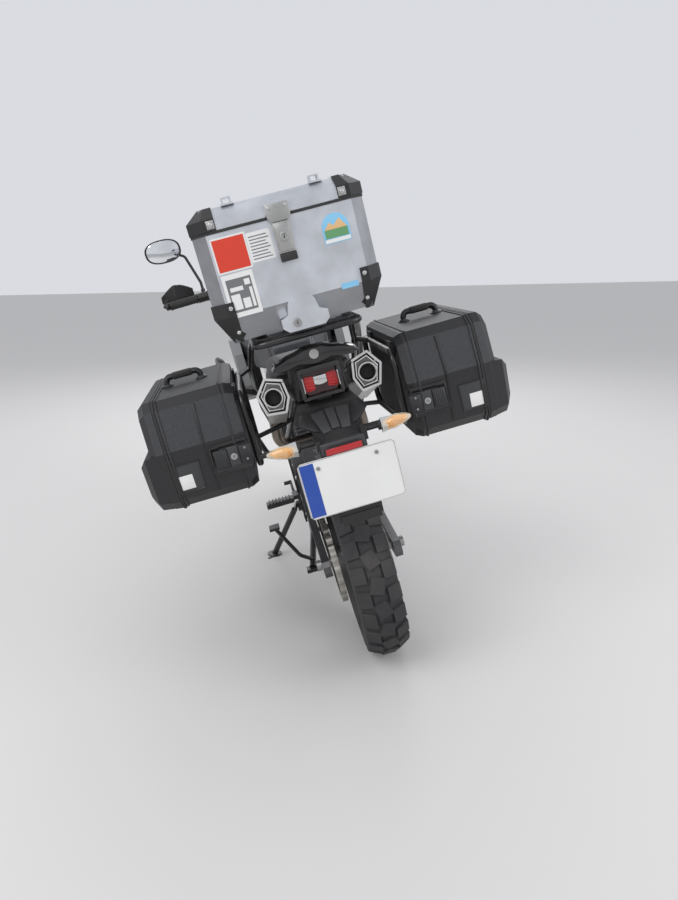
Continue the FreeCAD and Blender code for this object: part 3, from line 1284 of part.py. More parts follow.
centre_pivot = Vector(0, 560, 275)
feet_at = Vector(158, 300, 180)
centre_leg = tube([(113, 560, 275), (118, 470, 244), tuple(feet_at)], 12, 60)
centre_foot = box((134, 182), (284, 316), (166, 180))
centre = fuse(
    *mirrored_pair(centre_leg), *mirrored_pair(centre_foot), *mirrored_pair(drum(104, 122, 560, 275, 16)),
    rod((-118, 470, 244), (118, 470, 244), 10),
    tube([(-150, 330, 196), (-190, 296, 240), (-250, 290, 372)], 7, 40),
    box((-268, -232), (270, 310), (368, 378)),
)
pin_hole = drum(-140, 140, 560, 275, 8.4)
NODES["centre_stand"] = cut(centre, pin_hole)
stand_room = rod(tuple(stand_pivot - stand_axis * 5.5), tuple(stand_pivot + stand_axis * 5.5), 20.5)
backwards = (up - down * up.dot(down)).normalize()
leg_room = []
for step in range(13):
    turn = math.radians(stand_angle) * step / 12
    swung = down * math.cos(turn) + backwards * math.sin(turn)
    leg_room.append(rod(tuple(stand_pivot + swung * 12), tuple(stand_pivot + swung * 80), stand_r + 1))
NODES["frame"] = cut(
    fuse(frame, drum(-137, -98, 560, 275, 8), drum(98, 137, 560, 275, 8)), stand_room, *leg_room)

# Seats: where two fixed parts bear on each other, one of them is cut to fit the other

for seated, bearings in (
    ("exhaust_pipes", ("engine", "frame")), ("seat", ("frame",)), ("front_fairing", ("windscreen",)),
    ("fork_slider_right", ("front_axle",)), ("fork_slider_left", ("front_axle",)),
    ("front_mudguard", ("fork_slider_right", "fork_slider_left")), ("rear_shock", ("swingarm",)),
    ("hand_guard_right", ("handlebar",)), ("hand_guard_left", ("handlebar",)),
):
    NODES[seated] = cut(NODES[seated], *[NODES[name] for name in bearings])

# Parking: the whole machine leans on its side stand

parked = []
for name, thing in NODES.items():
    shape = shape_of(thing).copy()
    shape.Placement = leaning.multiply(shape.Placement)
    parked.append((name, shape))
whole = Part.makeCompound([shape for _, shape in parked]).BoundBox
shift = Vector(-(whole.XMin + whole.XMax) / 2, -(whole.YMin + whole.YMax) / 2, -ground)
PARKED = Placement(shift, Rotation()).multiply(leaning)

doc.recompute()
for name, thing in NODES.items():
    piece = doc.addObject("Part::Feature", name)
    piece.Label = name
    piece.Shape = shape_of(thing)
    piece.Placement = PARKED.multiply(piece.Placement)
    solids = piece.Shape.Solids
    if len(solids) != 1 or not piece.Shape.isValid():
        print("BAD", name, len(solids), piece.Shape.isValid(), [round(s.Volume) for s in solids])
    piece.Shape.exportStep(f"parts/{name}.step")

for feature in doc.Objects:
    if "Invalid" in feature.State:
        print("STATE", feature.Name, feature.State)


def placed(point):
    """A point of the upright machine where it stands parked."""
    return [round(v, 3) for v in PARKED.multVec(Vector(*map(float, point)))]


def turned(direction):
    """A direction of the upright machine as it stands parked."""
    return [round(v, 6) for v in PARKED.Rotation.multVec(Vector(*direction))]


print("SIZE", [round(v, 2) for v in (whole.XLength, whole.YLength, whole.ZLength)])
print("J steering", placed(steer(0, size.head_low, 0)), turned(AXIS))
print("J front_wheel", placed(FRONT_AXLE), turned((1, 0, 0)))
print("J rear_wheel", placed(REAR_AXLE), turned((1, 0, 0)))
print("J side_stand", placed(stand_pivot), turned(tuple(stand_axis)), stand_angle)
print("J centre_stand", placed(centre_pivot), turned((1, 0, 0)))
print("J top_case_lid", placed((0, hinge_y, hinge_z)), turned((1, 0, 0)))
print("J right_pannier_lid", placed((pin_x, 55, pin_z)), turned((0, 1, 0)))
print("J left_pannier_lid", placed((-pin_x, 55, pin_z)), turned((0, 1, 0)))
print("PLACEMENT", PARKED.Base, PARKED.Rotation.Q)

for name, point, axis in (
    ("rear_axle", REAR_AXLE, (1, 0, 0)), ("front_axle", FRONT_AXLE, (1, 0, 0)),
    ("spool_right", (arm_in + arm_t - 7, 110, 326), (1, 0, 0)),
    ("spool_left", (-arm_in - arm_t + 7, 110, 326), (-1, 0, 0)),
    ("bar_middle", steer(0, 1236, 8), (1, 0, 0)),
):
    print("M", name, placed(point), turned(axis))
for name, middle, halves in (
    ("top_case", (0, rear_y + 200, 1222), (145, 170, 82)),
    ("right_pannier", (345, 57, 850), (68, 195, 112)), ("left_pannier", (-345, 57, 850), (68, 195, 112)),
):
    spot = placed(middle)
    print("O", name, [round(spot[n] - halves[n], 2) for n in range(3)] + [
        round(spot[n] + halves[n], 2) for n in range(3)])
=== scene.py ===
# %% [markdown]
# # An adventure motorcycle, dressed for its portrait
# The machine stands on its side stand and leans to its left. Its frame, wheels and cases come from the
# CAD model, so every piece made here goes where the CAD says it is. We work in metres.

# %% Load the frame
import json
import math

import bpy
from mathutils import Matrix, Vector


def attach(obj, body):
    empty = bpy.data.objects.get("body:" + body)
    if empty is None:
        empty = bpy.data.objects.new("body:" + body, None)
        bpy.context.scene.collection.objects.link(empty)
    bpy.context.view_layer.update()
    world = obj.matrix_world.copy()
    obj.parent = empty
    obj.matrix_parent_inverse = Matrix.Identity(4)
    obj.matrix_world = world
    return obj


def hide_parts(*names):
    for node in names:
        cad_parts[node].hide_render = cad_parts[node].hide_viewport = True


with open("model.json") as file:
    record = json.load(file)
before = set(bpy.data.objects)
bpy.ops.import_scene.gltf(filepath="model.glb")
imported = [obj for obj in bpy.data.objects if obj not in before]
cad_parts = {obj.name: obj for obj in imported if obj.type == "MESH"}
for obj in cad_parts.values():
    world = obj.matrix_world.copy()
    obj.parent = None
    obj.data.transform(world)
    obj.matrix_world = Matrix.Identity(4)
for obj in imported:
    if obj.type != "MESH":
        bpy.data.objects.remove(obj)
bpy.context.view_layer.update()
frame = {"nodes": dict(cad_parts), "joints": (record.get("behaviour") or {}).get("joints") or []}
nodes = frame["nodes"]
print("pieces of the frame:", len(nodes))

# %% [markdown]
# The machine leans, and that makes measuring awkward. A matrix takes care of it: the wheel axles give the
# sideways direction, the line between them gives forwards, and what is square to both is the machine's
# own up. We can then model upright and park each finished piece with one multiplication.

# %% The parked machine's own directions
REAR_RADIUS, FRONT_RADIUS, TYRE_SINK = 0.320, 0.348, 0.0003
joints = {joint["name"]: joint for joint in frame["joints"]}
rear_axle = Vector(joints["rear_wheel_spin"]["pos_m"])
front_axle = Vector(joints["front_wheel_spin"]["pos_m"])
rightwards = Vector(joints["rear_wheel_spin"]["axis"]).normalized()
rise = FRONT_RADIUS - TYRE_SINK - REAR_RADIUS
wheelbase = math.sqrt((front_axle - rear_axle).length ** 2 - rise ** 2)
upwards = rightwards.cross(front_axle - rear_axle).normalized()
upwards = Matrix.Rotation(-math.atan2(rise, wheelbase), 3, rightwards) @ upwards
forwards = upwards.cross(rightwards)
origin = rear_axle - REAR_RADIUS * upwards
PARKED = Matrix.Translation(origin) @ Matrix((rightwards, forwards, upwards)).transposed().to_4x4()
UPRIGHT = PARKED.inverted()
print("lean:", round(math.degrees(math.acos(upwards.z)), 2), "degrees")

# %% [markdown]
# ## A short way to write shaders
# A material is a graph of nodes. Drawing it node by node takes many lines, so one small class wraps a
# socket: adding, subtracting or multiplying two wrapped sockets makes the Math nodes for us.


# %% Sockets that do sums
class Socket:
    """A shader value. Sums on it add Math nodes to the material."""

    def __init__(self, tree, socket):
        self.tree = tree
        self.socket = socket

    def _math(self, operation, *values):
        return self.tree.node("Math", {"operation": operation}, dict(enumerate(values)))[0]

    def __add__(self, other):
        return self._math("ADD", self, other)

    def __sub__(self, other):
        return self._math("SUBTRACT", self, other)

    def __mul__(self, other):
        return self._math("MULTIPLY", self, other)

    def __rsub__(self, other):
        return self._math("SUBTRACT", other, self)

    __radd__ = __add__


EVEN = (1.0, 1.0, 1.0)


class Tree:
    """A new material whose nodes are added by kind, settings and inputs."""

    def __init__(self, name):
        self.material = bpy.data.materials.new(name)
        self.material.use_nodes = True
        self.nodes = self.material.node_tree.nodes
        self.links = self.material.node_tree.links
        self.shader = self.nodes["Principled BSDF"]

    def feed(self, target, value):
        """Sets a socket to a number or colour, or links it."""
        if isinstance(value, Socket):
            self.links.new(value.socket, target)
        elif isinstance(value, (tuple, list)):
            target.default_value = (*value, 1.0)[: len(target.default_value)]
        else:
            target.default_value = value

    def node(self, kind, settings=None, inputs=None):
        """Adds a shader node of a kind and returns its outputs as sockets."""
        made = self.nodes.new("ShaderNode" + kind)
        for key, value in (settings or {}).items():
            setattr(made, key, value)
        for key, value in (inputs or {}).items():
            self.feed(made.inputs[key], value)
        return [Socket(self, output) for output in made.outputs]

    def place(self, scale=1.0, stretch=EVEN):
        """Object coordinates, scaled."""
        spot = self.node("TexCoord")[3]
        sizes = tuple(scale * size for size in stretch)
        return self.node("Mapping", {}, {"Vector": spot, "Scale": sizes})[0]

    def height(self, vector):
        """The third part of a vector."""
        return self.node("SeparateXYZ", {}, {"Vector": vector})[2]

    def upward(self):
        """How far a face looks up, from -0.5 to 0.5."""
        return self.height(self.node("NewGeometry")[1]) * 0.5

    def noise(self, scale, detail=4.0, stretch=EVEN):
        """Cloudy noise from 0 to 1 whose blots are about 1 / scale metres across."""
        spot = self.place(1.0, stretch)
        return self.node("TexNoise", {}, {"Vector": spot, "Scale": scale, "Detail": detail})[0]

    def pebbles(self, scale):
        """Distance to the nearest of many scattered points, with soft borders."""
        return self.node("TexVoronoi", {"feature": "SMOOTH_F1"}, {"Vector": self.place(), "Scale": scale})[0]

    def ramp(self, value, start, end):
        """Maps a value to greys between two stops of place and grey."""
        output = self.node("ValToRGB", {}, {"Fac": value})[0]
        for stop, (place, grey) in zip(output.socket.node.color_ramp.elements, (start, end)):
            stop.position = place
            stop.color = (grey, grey, grey, 1.0)
        return output

    def level(self, value, start, end):
        """The same as a plain number."""
        return self.node("RGBToBW", {}, {"Color": self.ramp(value, start, end)})[0]

    def mix(self, amount, first, second):
        """Blends two colours."""
        return self.node("Mix", {"data_type": "RGBA"}, {"Factor": amount, 6: first, 7: second})[2]

    def bump(self, height, depth, strength=0.5):
        """Raises the surface by a height from 0 to 1 times depth, in metres."""
        return self.node("Bump", {}, {"Height": height, "Distance": depth, "Strength": strength})[0]

    def finish(self, **sockets):
        """Feeds the Principled shader and returns the material."""
        for name, value in sockets.items():
            self.feed(self.shader.inputs[name.replace("_", " ").title()], value)
        return self.material


# %% [markdown]
# ## Metals
# Bare metal is never one grey. The aluminium sheet of the top case has fine scratches in every direction,
# small dull blots and a softer shine than polished steel, so its roughness carries the pattern and its
# colour hardly changes.


# %% Metals
def metal(name, colour, rough, scratch=0.12, grain=900.0, stretch=EVEN):
    """Bare metal with scratches and dull blots."""
    tree = Tree(name)
    blots = tree.noise(14.0, 6.0)
    lines = tree.noise(grain, 2.0, stretch)
    dark = tuple(0.82 * c for c in colour)
    return tree.finish(
        base_color=tree.mix(tree.ramp(blots, (0.35, 0.0), (0.7, 1.0)), dark, colour),
        metallic=1.0,
        roughness=rough + (lines - 0.5) * scratch + (blots - 0.5) * scratch,
        normal=tree.bump(lines, 0.00004, 0.4),
    )


SHEET_GRAIN = (1.0, 1.0, 0.15)
case_sheet = metal("aluminium sheet of the top case", (0.70, 0.72, 0.76), 0.44, 0.16, 500.0, SHEET_GRAIN)
# A darker copy of the same sheet: painted shade for the rear chamfers and the sloping strip at the foot.
shaded_case_sheet = metal("aluminium folds of the top case", (0.37, 0.38, 0.40), 0.40, 0.16, 500.0, SHEET_GRAIN)
# Brighter than bare steel: a painted highlight for the tip rings.
tip_steel = metal("bright muffler ends", (0.90, 0.90, 0.89), 0.24, 0.06)
polished = metal("polished steel", (0.72, 0.72, 0.71), 0.16, 0.06)
brushed = metal("brushed steel", (0.52, 0.51, 0.49), 0.34, 0.14, 700.0, (0.2, 1.0, 1.0))
satin_alloy = metal("satin wheel alloy", (0.55, 0.56, 0.57), 0.38)
dull_zinc = metal("dull zinc", (0.45, 0.45, 0.44), 0.48)
hot_steel = metal("browned exhaust steel", (0.24, 0.205, 0.175), 0.40, 0.14)
chain_steel = metal("chain steel", (0.46, 0.44, 0.40), 0.36, 0.2)
dark_alloy = metal("anodised alloy", (0.16, 0.16, 0.165), 0.42)
print("materials so far:", len(bpy.data.materials))

# %% [markdown]
# ## Paint and moulded plastic
# The panniers are moulded in black plastic with a leather-like grain: shallow cells a few millimetres
# across. A Voronoi pattern gives the cells. On the panniers a speckled painted sheen lightens faces that
# tilt a little up; on the other plastics and paints, road dust lightens the faces that look up.


# %% Paint and plastic
def dusty(tree, colour, dust=(0.20, 0.185, 0.16), amount=0.16):
    """Lets dust gather on upward faces and in blots."""
    patches = tree.level(tree.noise(9.0, 8.0), (0.42, 0.0), (0.75, 1.0))
    return tree.mix(tree.ramp(tree.upward() + 0.35, (0.3, 0.15), (0.9, 1.0)), colour,
                    tree.mix(patches * amount, colour, dust))


def paint(name, colour, rough, coat=0.0, flake=0.0):
    """Sprayed paint with a faint orange-peel skin."""
    tree = Tree(name)
    return tree.finish(
        base_color=dusty(tree, colour, amount=0.3), metallic=flake,
        roughness=rough + (tree.noise(20.0, 5.0) - 0.5) * 0.12, coat_weight=coat, coat_roughness=0.08,
        normal=tree.bump(tree.noise(220.0, 2.0), 0.00006, 0.3))


def leather(tree, cells, fine):
    """The height of a leather-like or sandy grain, from 0 to 1."""
    return (1.0 - tree.pebbles(cells)) * 0.7 + fine * 0.3


def grained(name, colour, rough, cells, depth):
    """Moulded plastic with such a grain."""
    tree = Tree(name)
    fine = tree.noise(cells * 3, 3.0)
    return tree.finish(
        base_color=dusty(tree, colour), roughness=rough + (fine - 0.5) * 0.18,
        normal=tree.bump(leather(tree, cells, fine), depth, 0.7))


def case_skin(name):
    """The panniers' plastic: a plain dark tone, and a speckled painted sheen on faces that tilt a little
    upwards.
    """
    tree = Tree(name)
    fine = tree.noise(1100.0, 3.0)
    # Painted sheen: faces that tilt a little upwards get the lighter speckled tone; faces that look down,
    # and the tops (level), keep the plain dark one.
    lit = tree.ramp(tree.upward() + 0.5, (0.47, 0.0), (0.57, 1.0))
    level = tree.level(tree.upward() + 0.5, (0.60, 0.0), (0.74, 1.0))
    specks = tree.ramp(fine, (0.42, 0.0), (0.70, 1.0))
    shine = tree.mix(specks, (0.018, 0.018, 0.020), (0.075, 0.077, 0.084))
    plain_dark_skin = tree.mix(specks, (0.008, 0.008, 0.009), (0.022, 0.022, 0.024))
    return tree.finish(
        base_color=tree.mix(level, tree.mix(lit, plain_dark_skin, shine), plain_dark_skin),
        roughness=0.42 + level * 0.2 + (fine - 0.5) * 0.2,
        normal=tree.bump(leather(tree, 420.0, fine), 0.00045, 0.7))


frame_black = paint("black frame paint", (0.010, 0.010, 0.011), 0.34, 0.2)
engine_paint = paint("grey engine paint", (0.10, 0.10, 0.105), 0.5)
tank_paint = paint("charcoal tank paint", (0.055, 0.057, 0.062), 0.24, 0.7, 0.2)
panel_grey = grained("grey side panel plastic", (0.21, 0.215, 0.22), 0.5, 900.0, 0.00008)
pannier_skin = case_skin("black pannier plastic")
black_plastic = grained("black moulded plastic", (0.011, 0.011, 0.012), 0.46, 1300.0, 0.00012)
gloss_black = paint("gloss black plastic", (0.006, 0.006, 0.007), 0.16, 0.4)
dark_plastic = grained("charcoal bodywork plastic", (0.035, 0.036, 0.039), 0.42, 1500.0, 0.00006)

# %% [markdown]
# ## Rubber
# A used tyre is dark grey rather than black, and dust sits in its pores. The grips and seals get less of
# it. The seat cover has a fine pebble grain with a soft sheen.


# %% Rubber and vinyl
def rubber(name, colour, rough, dust_amount):
    """Used rubber with dust in its pores."""
    tree = Tree(name)
    pores = tree.noise(600.0, 3.0)
    return tree.finish(
        base_color=dusty(tree, colour, (0.16, 0.14, 0.12), dust_amount),
        roughness=rough + (pores - 0.5) * 0.2, normal=tree.bump(pores, 0.0002))


tyre_rubber = rubber("tyre rubber", (0.028, 0.028, 0.03), 0.78, 0.55)
grip_rubber = rubber("grip rubber", (0.02, 0.02, 0.02), 0.7, 0.1)

vinyl = Tree("black seat vinyl")
vinyl_pebbles = vinyl.pebbles(700.0)
seat_vinyl = vinyl.finish(
    base_color=dusty(vinyl, (0.012, 0.012, 0.013), amount=0.06), sheen_weight=0.05,
    roughness=0.55 + (vinyl_pebbles - 0.4) * 0.2, normal=vinyl.bump(1.0 - vinyl_pebbles, 0.0003))

# %% [markdown]
# ## Lenses
# A lamp's lens is a coloured or clear plastic shell whose inner side is ribbed to spread the light. A
# bump that follows a sine wave stands in for the ribs, and the clear ones let the bulb behind them show.


# %% Lenses, glass and mirror
def lens(name, colour, alpha=1.0, rough=0.08, ribs=0.0):
    """A moulded lamp lens, ribbed inside."""
    tree = Tree(name)
    sockets = dict(base_color=colour, roughness=rough, alpha=alpha, coat_weight=0.6)
    if ribs:
        wave = tree.node("Math", {"operation": "SINE"}, {0: tree.height(tree.place(ribs))})[0]
        sockets["normal"] = tree.bump(wave, 0.0006, 0.6)
    tree.shader.inputs["IOR"].default_value = 1.5
    return tree.finish(**sockets)


smoked_lens = lens("smoked lamp body", (0.035, 0.004, 0.006))
red_lens = lens("red lamp lens", (0.42, 0.008, 0.01), 1.0, 0.1, 900.0)
amber_lens = lens("amber bulb", (0.80, 0.34, 0.03), 1.0, 0.15, 900.0)
clear_lens = lens("clear lens", (0.85, 0.87, 0.88), 0.32, 0.05, 700.0)
screen_clear = lens("clear screen", (0.72, 0.76, 0.78), 0.30, 0.04)
silver_reflector = metal("silver reflector", (0.80, 0.80, 0.80), 0.12, 0.04)
mirror_glass = metal("mirror glass", (0.86, 0.88, 0.90), 0.02, 0.01)
plate_white = paint("white plate", (0.74, 0.74, 0.72), 0.35, 0.2)
plate_blue = paint("blue plate band", (0.01, 0.06, 0.34), 0.35, 0.2)
print("materials so far:", len(bpy.data.materials))

# %% Give each node of the frame its finish
FINISHES = {
    frame_black: ("frame", "luggage_rack", "pannier_racks", "engine_guard_left", "engine_guard_right",
                  "side_stand", "centre_stand", "handlebar", "radiator"),
    engine_paint: ("engine",),
    hot_steel: ("exhaust_pipes",),
    brushed: ("muffler_left", "muffler_right", "front_disc_left", "front_disc_right", "rear_disc"),
    tank_paint: ("fuel_tank",),
    panel_grey: ("side_panel_left", "side_panel_right"),
    seat_vinyl: ("seat",),
    dark_plastic: ("front_fairing",),
    black_plastic: ("tail_cover", "rear_mudguard", "front_mudguard", "hand_guard_left", "hand_guard_right"),
    red_lens: ("tail_lamp",),
    plate_white: ("number_plate",),
    screen_clear: ("windscreen",),
    clear_lens: ("headlamp",),
    dark_alloy: ("swingarm", "rear_shock"),
    satin_alloy: ("skid_plate", "front_wheel", "rear_wheel", "fork", "fork_slider_left",
                  "fork_slider_right"),
    dull_zinc: ("front_axle", "rear_axle"),
    chain_steel: ("chain", "rear_sprocket"),
    case_sheet: ("top_case_body", "top_case_lid"),
    pannier_skin: ("left_pannier_body", "left_pannier_lid", "right_pannier_body", "right_pannier_lid"),
    tyre_rubber: ("front_tyre", "rear_tyre"),
    gloss_black: ("mirror_left", "mirror_right"),
}
for finish, names in FINISHES.items():
    for name in names:
        nodes[name].data.materials.clear()
        nodes[name].data.materials.append(finish)
print("finishes on the frame:", len(FINISHES))

# %% [markdown]
# ## Tools for modelling upright
# Each new piece starts as a primitive at its place on the upright machine, gets its form in edit mode and
# from modifiers, and is then parked: its mesh is moved to where the leaning machine holds it, and it
# rides on a body of the frame so that it follows the joints.


# %% Measuring and parking
SIDES = ((-1, "left"), (1, "right"))
SLOT_OF = {}
for slot_name, finishes in (
    ("black_plastic", (black_plastic, dark_plastic, grip_rubber)),
    ("mirror_black", (gloss_black, mirror_glass)), ("muffler_steel", (brushed, tip_steel)),
    ("clear_lens", (clear_lens, silver_reflector, amber_lens)), ("lamp_red", (red_lens, smoked_lens)),
    ("case_alloy", (case_sheet, shaded_case_sheet)), ("alloy", (satin_alloy, dark_alloy)),
    ("plate_white", (plate_white, plate_blue)), ("steel", (dull_zinc, polished)),
    ("pannier_plastic", (pannier_skin,)), ("frame_black", (frame_black,)),
):
    for finish in finishes:
        SLOT_OF[finish.name] = slot_name
parked = []


def upright_box(node):
    """A frame node's lowest and highest corners on the upright machine."""
    spots = [UPRIGHT @ vertex.co for vertex in nodes[node].data.vertices]
    return (Vector([min(p[n] for p in spots) for n in range(3)]),
            Vector([max(p[n] for p in spots) for n in range(3)]))


def take(name):
    """Names the piece that an operator has just made."""
    piece = bpy.context.object
    piece.name = piece.data.name = name
    return piece


def choose(piece):
    """Makes a piece the active one and the only one that is selected."""
    bpy.ops.object.select_all(action="DESELECT")
    piece.select_set(True)
    bpy.context.view_layer.objects.active = piece


def settle(piece):
    """Applies every modifier and the object's own place and size."""
    choose(piece)
    for modifier in list(piece.modifiers):
        bpy.ops.object.modifier_apply(modifier=modifier.name)
    bpy.ops.object.transform_apply(location=True, rotation=True, scale=True)
    return piece


def dress(piece, finish, angle=60):
    """Shades a piece smoothly up to an angle and gives it its finish."""
    bpy.ops.object.shade_smooth_by_angle(angle=math.radians(angle))
    piece.data.materials.clear()
    piece.data.materials.append(finish)


def park(piece, finish, body="chassis"):
    """Finishes a piece that was modelled upright and puts it on the parked machine."""
    settle(piece)
    piece.matrix_world = PARKED
    bpy.ops.object.transform_apply(location=True, rotation=True, scale=True)
    dress(piece, finish, 35)
    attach(piece, body)
    parked.append(piece.name)


def tell(title):
    """Prints how many pieces were parked since the last time."""
    print(title + ":", len(parked), "pieces, from", parked[0], "to", parked[-1])
    parked.clear()


# %% Modifiers and moves that many pieces share
def rounded(piece, edge, segments=2, sharper_than=None):
    """Rounds a piece's edges and applies that."""
    bevel = piece.modifiers.new("edges", "BEVEL")
    bevel.width = edge
    bevel.segments = segments
    if sharper_than:
        bevel.angle_limit = math.radians(sharper_than)
    return settle(piece)


def relaxed(piece, grain, rounds):
    """Remeshes a piece into small squares and smooths them."""
    remesh = piece.modifiers.new("remesh", "REMESH")
    remesh.mode = "VOXEL"
    remesh.voxel_size = grain
    relax = piece.modifiers.new("relax", "SMOOTH")
    relax.factor = 0.5
    relax.iterations = rounds
    return settle(piece)


def thicken(piece, thickness, offset):
    """Gives a sheet its thickness when the piece is settled."""
    wall = piece.modifiers.new("wall", "SOLIDIFY")
    wall.thickness = thickness
    wall.offset = offset


def edit(piece, mode, action):
    """Enters edit mode and selects all or nothing."""
    bpy.ops.object.mode_set(mode="EDIT")
    bpy.ops.mesh.select_mode(type=mode)
    bpy.ops.mesh.select_all(action=action)
    return piece


def extrude(push):
    """Pushes out a copy of what is selected in edit mode."""
    bpy.ops.mesh.extrude_region_move(TRANSFORM_OT_translate={"value": tuple(push)})


def close_up(piece):
    """Turns all faces outwards and leaves edit mode."""
    bpy.ops.mesh.select_all(action="SELECT")
    bpy.ops.mesh.normals_make_consistent(inside=False)
    bpy.ops.object.mode_set(mode="OBJECT")
    return piece


def copy_of(node, name):
    """A frame node's mesh as a piece of its own, its corners joined, where it is on the parked machine."""
    piece = nodes[node].copy()
    piece.data = nodes[node].data.copy()
    piece.name = piece.data.name = name
    bpy.context.scene.collection.objects.link(piece)
    choose(piece)
    bpy.ops.object.mode_set(mode="EDIT")
    bpy.ops.mesh.select_all(action="SELECT")
    bpy.ops.mesh.remove_doubles(threshold=0.0002)
    bpy.ops.object.mode_set(mode="OBJECT")
    return piece


# %% Blocks, round fittings and outlines
def block(name, x, y, z, edge=0.0015, segments=2):
    """A block between three pairs of limits, its edges rounded."""
    bpy.ops.mesh.primitive_cube_add(size=1, location=[sum(pair) / 2 for pair in (x, y, z)])
    piece = take(name)
    piece.scale = [abs(pair[1] - pair[0]) for pair in (x, y, z)]
    bpy.ops.object.transform_apply(location=False, rotation=False, scale=True)
    return rounded(piece, edge, segments)


def pair_of(sx, start, end):
    """Two sideways limits on one side of the machine."""
    return sx * start, sx * end


def stepped_round(name, centre, direction, radius, depth, steps, sides=32, edge=0.0004):
    """A round fitting whose face is stepped: each step is (inset, push), in metres."""
    ahead = Vector(direction).normalized()
    turn = Vector((0, 0, 1)).rotation_difference(ahead).to_euler()
    bpy.ops.mesh.primitive_cylinder_add(
        vertices=sides, radius=radius, depth=depth, location=Vector(centre), rotation=turn)
    piece = take(name)
    bpy.ops.object.transform_apply(location=True, rotation=True, scale=True)
    edit(piece, "FACE", "DESELECT")
    bpy.ops.object.mode_set(mode="OBJECT")
    for face in piece.data.polygons:
        face.select = face.normal.dot(ahead) > 0.9
    bpy.ops.object.mode_set(mode="EDIT")
    for inset, push in steps:
        bpy.ops.mesh.inset(thickness=inset, depth=0)
        extrude(ahead * push)
    bpy.ops.object.mode_set(mode="OBJECT")
    return rounded(piece, edge, 2, 50)


def outline(name, corners, filled):
    """A closed outline through the corners, in edit mode with all of it selected."""
    bpy.ops.mesh.primitive_circle_add(
        vertices=len(corners), radius=1, fill_type="NGON" if filled else "NOTHING")
    piece = take(name)
    for vertex, corner in zip(piece.data.vertices, corners):
        vertex.co = corner
    return edit(piece, "FACE" if filled else "VERT", "SELECT")


def outline_plate(name, corners, push, edge=0.0008, inset=None):
    """A plate from an outline of points: filled, pushed to its thickness and rounded at its edges."""
    piece = outline(name, corners, True)
    extrude(push)
    if inset:
        bpy.ops.mesh.inset(thickness=inset[0], depth=0)
        extrude(inset[1])
    return rounded(close_up(piece), edge)


def hoop(name, corners, push, thickness, edge=0.0006):
    """A wall along a closed outline, as high as push and as thick as asked."""
    piece = outline(name, corners, False)
    extrude(push)
    thicken(close_up(piece), thickness, 0)
    return rounded(piece, edge)


def from_behind(corners, y, sx=1):
    """Corners (x, z) as seen from behind, at a depth y or on a surface y(z), on one side of the machine."""
    return [(sx * x, y(z) if callable(y) else y, z) for x, z in corners]


def rear_plate(name, corners, y, deep, edge, inset=None, sx=1):
    """A plate as seen from behind, so thick to the rear, with an inset (breadth, height) if one is asked."""
    return outline_plate(name, from_behind(corners, y, sx), (0, -deep, 0), edge,
                         inset and (inset[0], (0, -inset[1], 0)))


def eight_sided(low, high, floor, top, cut):
    """Four sides between two pairs of limits, with the corners cut."""
    return ((low + cut, floor), (high - cut, floor), (high, floor + cut), (high, top - cut),
            (high - cut, top), (low + cut, top), (low, top - cut), (low, floor + cut))


# %% [markdown]
# Bowls, caps and grips are turned: a disc is pushed out and resized ring by ring along its axis.


# %% Turned parts
def lathe(name, centre, direction, profile, sides=48, edge=0.0005):
    """A turned part: its profile lists (radius, height along the axis) from the first disc to the last."""
    bpy.ops.mesh.primitive_circle_add(vertices=sides, radius=profile[0][0], fill_type="NGON")
    piece = edit(take(name), "FACE", "SELECT")
    bpy.ops.transform.translate(value=(0, 0, profile[0][1]))
    for (radius, height), (next_radius, next_height) in zip(profile, profile[1:]):
        extrude((0, 0, next_height - height))
        ratio = next_radius / radius
        bpy.ops.transform.resize(value=(ratio, ratio, 1), center_override=(0, 0, next_height))
    close_up(piece)
    turn = Vector((0, 0, 1)).rotation_difference(Vector(direction).normalized())
    piece.matrix_world = Matrix.Translation(centre) @ turn.to_matrix().to_4x4()
    bpy.ops.object.transform_apply(location=True, rotation=True, scale=True)
    return rounded(piece, edge, 2, 40)


# %% Finishes for some faces, and plain colours
def coat_faces(node, finish, test):
    """Gives a second finish to the faces of a frame node that pass a test on the upright machine."""
    mesh = nodes[node].data
    mesh.materials.append(finish)
    slot = len(mesh.materials) - 1
    turn = UPRIGHT.to_3x3()
    count = 0
    for face in mesh.polygons:
        if test(UPRIGHT @ face.center, turn @ face.normal):
            face.material_index = slot
            count += 1
    print(node, "faces in", finish.name + ":", count)


def plain_colour(name, colour, rough=0.4):
    """Printed film or moulded trim in one colour, a little uneven."""
    tree = Tree(name)
    cloud = tree.noise(40.0, 5.0)
    return tree.finish(
        base_color=tree.mix(cloud, tuple(c * 0.94 for c in colour), colour),
        roughness=rough + (cloud - 0.5) * 0.12, normal=tree.bump(tree.noise(900.0, 2.0), 0.00003, 0.3))


# %% [markdown]
# ## Top case
# The case is folded from aluminium sheet. Black plastic caps protect its corners, a rubber seal shows as
# a dark line under the lid, and the cast lock and the over-centre latch are dull zinc. The caps are
# already in the frame as raised skins, so they only need their own finish. What is small and sharp is
# modelled here.

# %% Corner caps, and painted shade on the folds
CASE_HALF, CASE_REAR, CASE_FRONT, CASE_CHAMFER = 0.215, -0.270, 0.130, 0.034
CASE_BOTTOM, CASE_BELT, CASE_SPLIT, LID_BAND = 1.090, 1.156, 1.360, 1.388
LOW_CAP, HIGH_CAP, LOW_CAP_TOP = 0.054, 0.064, CASE_BELT + 0.0345


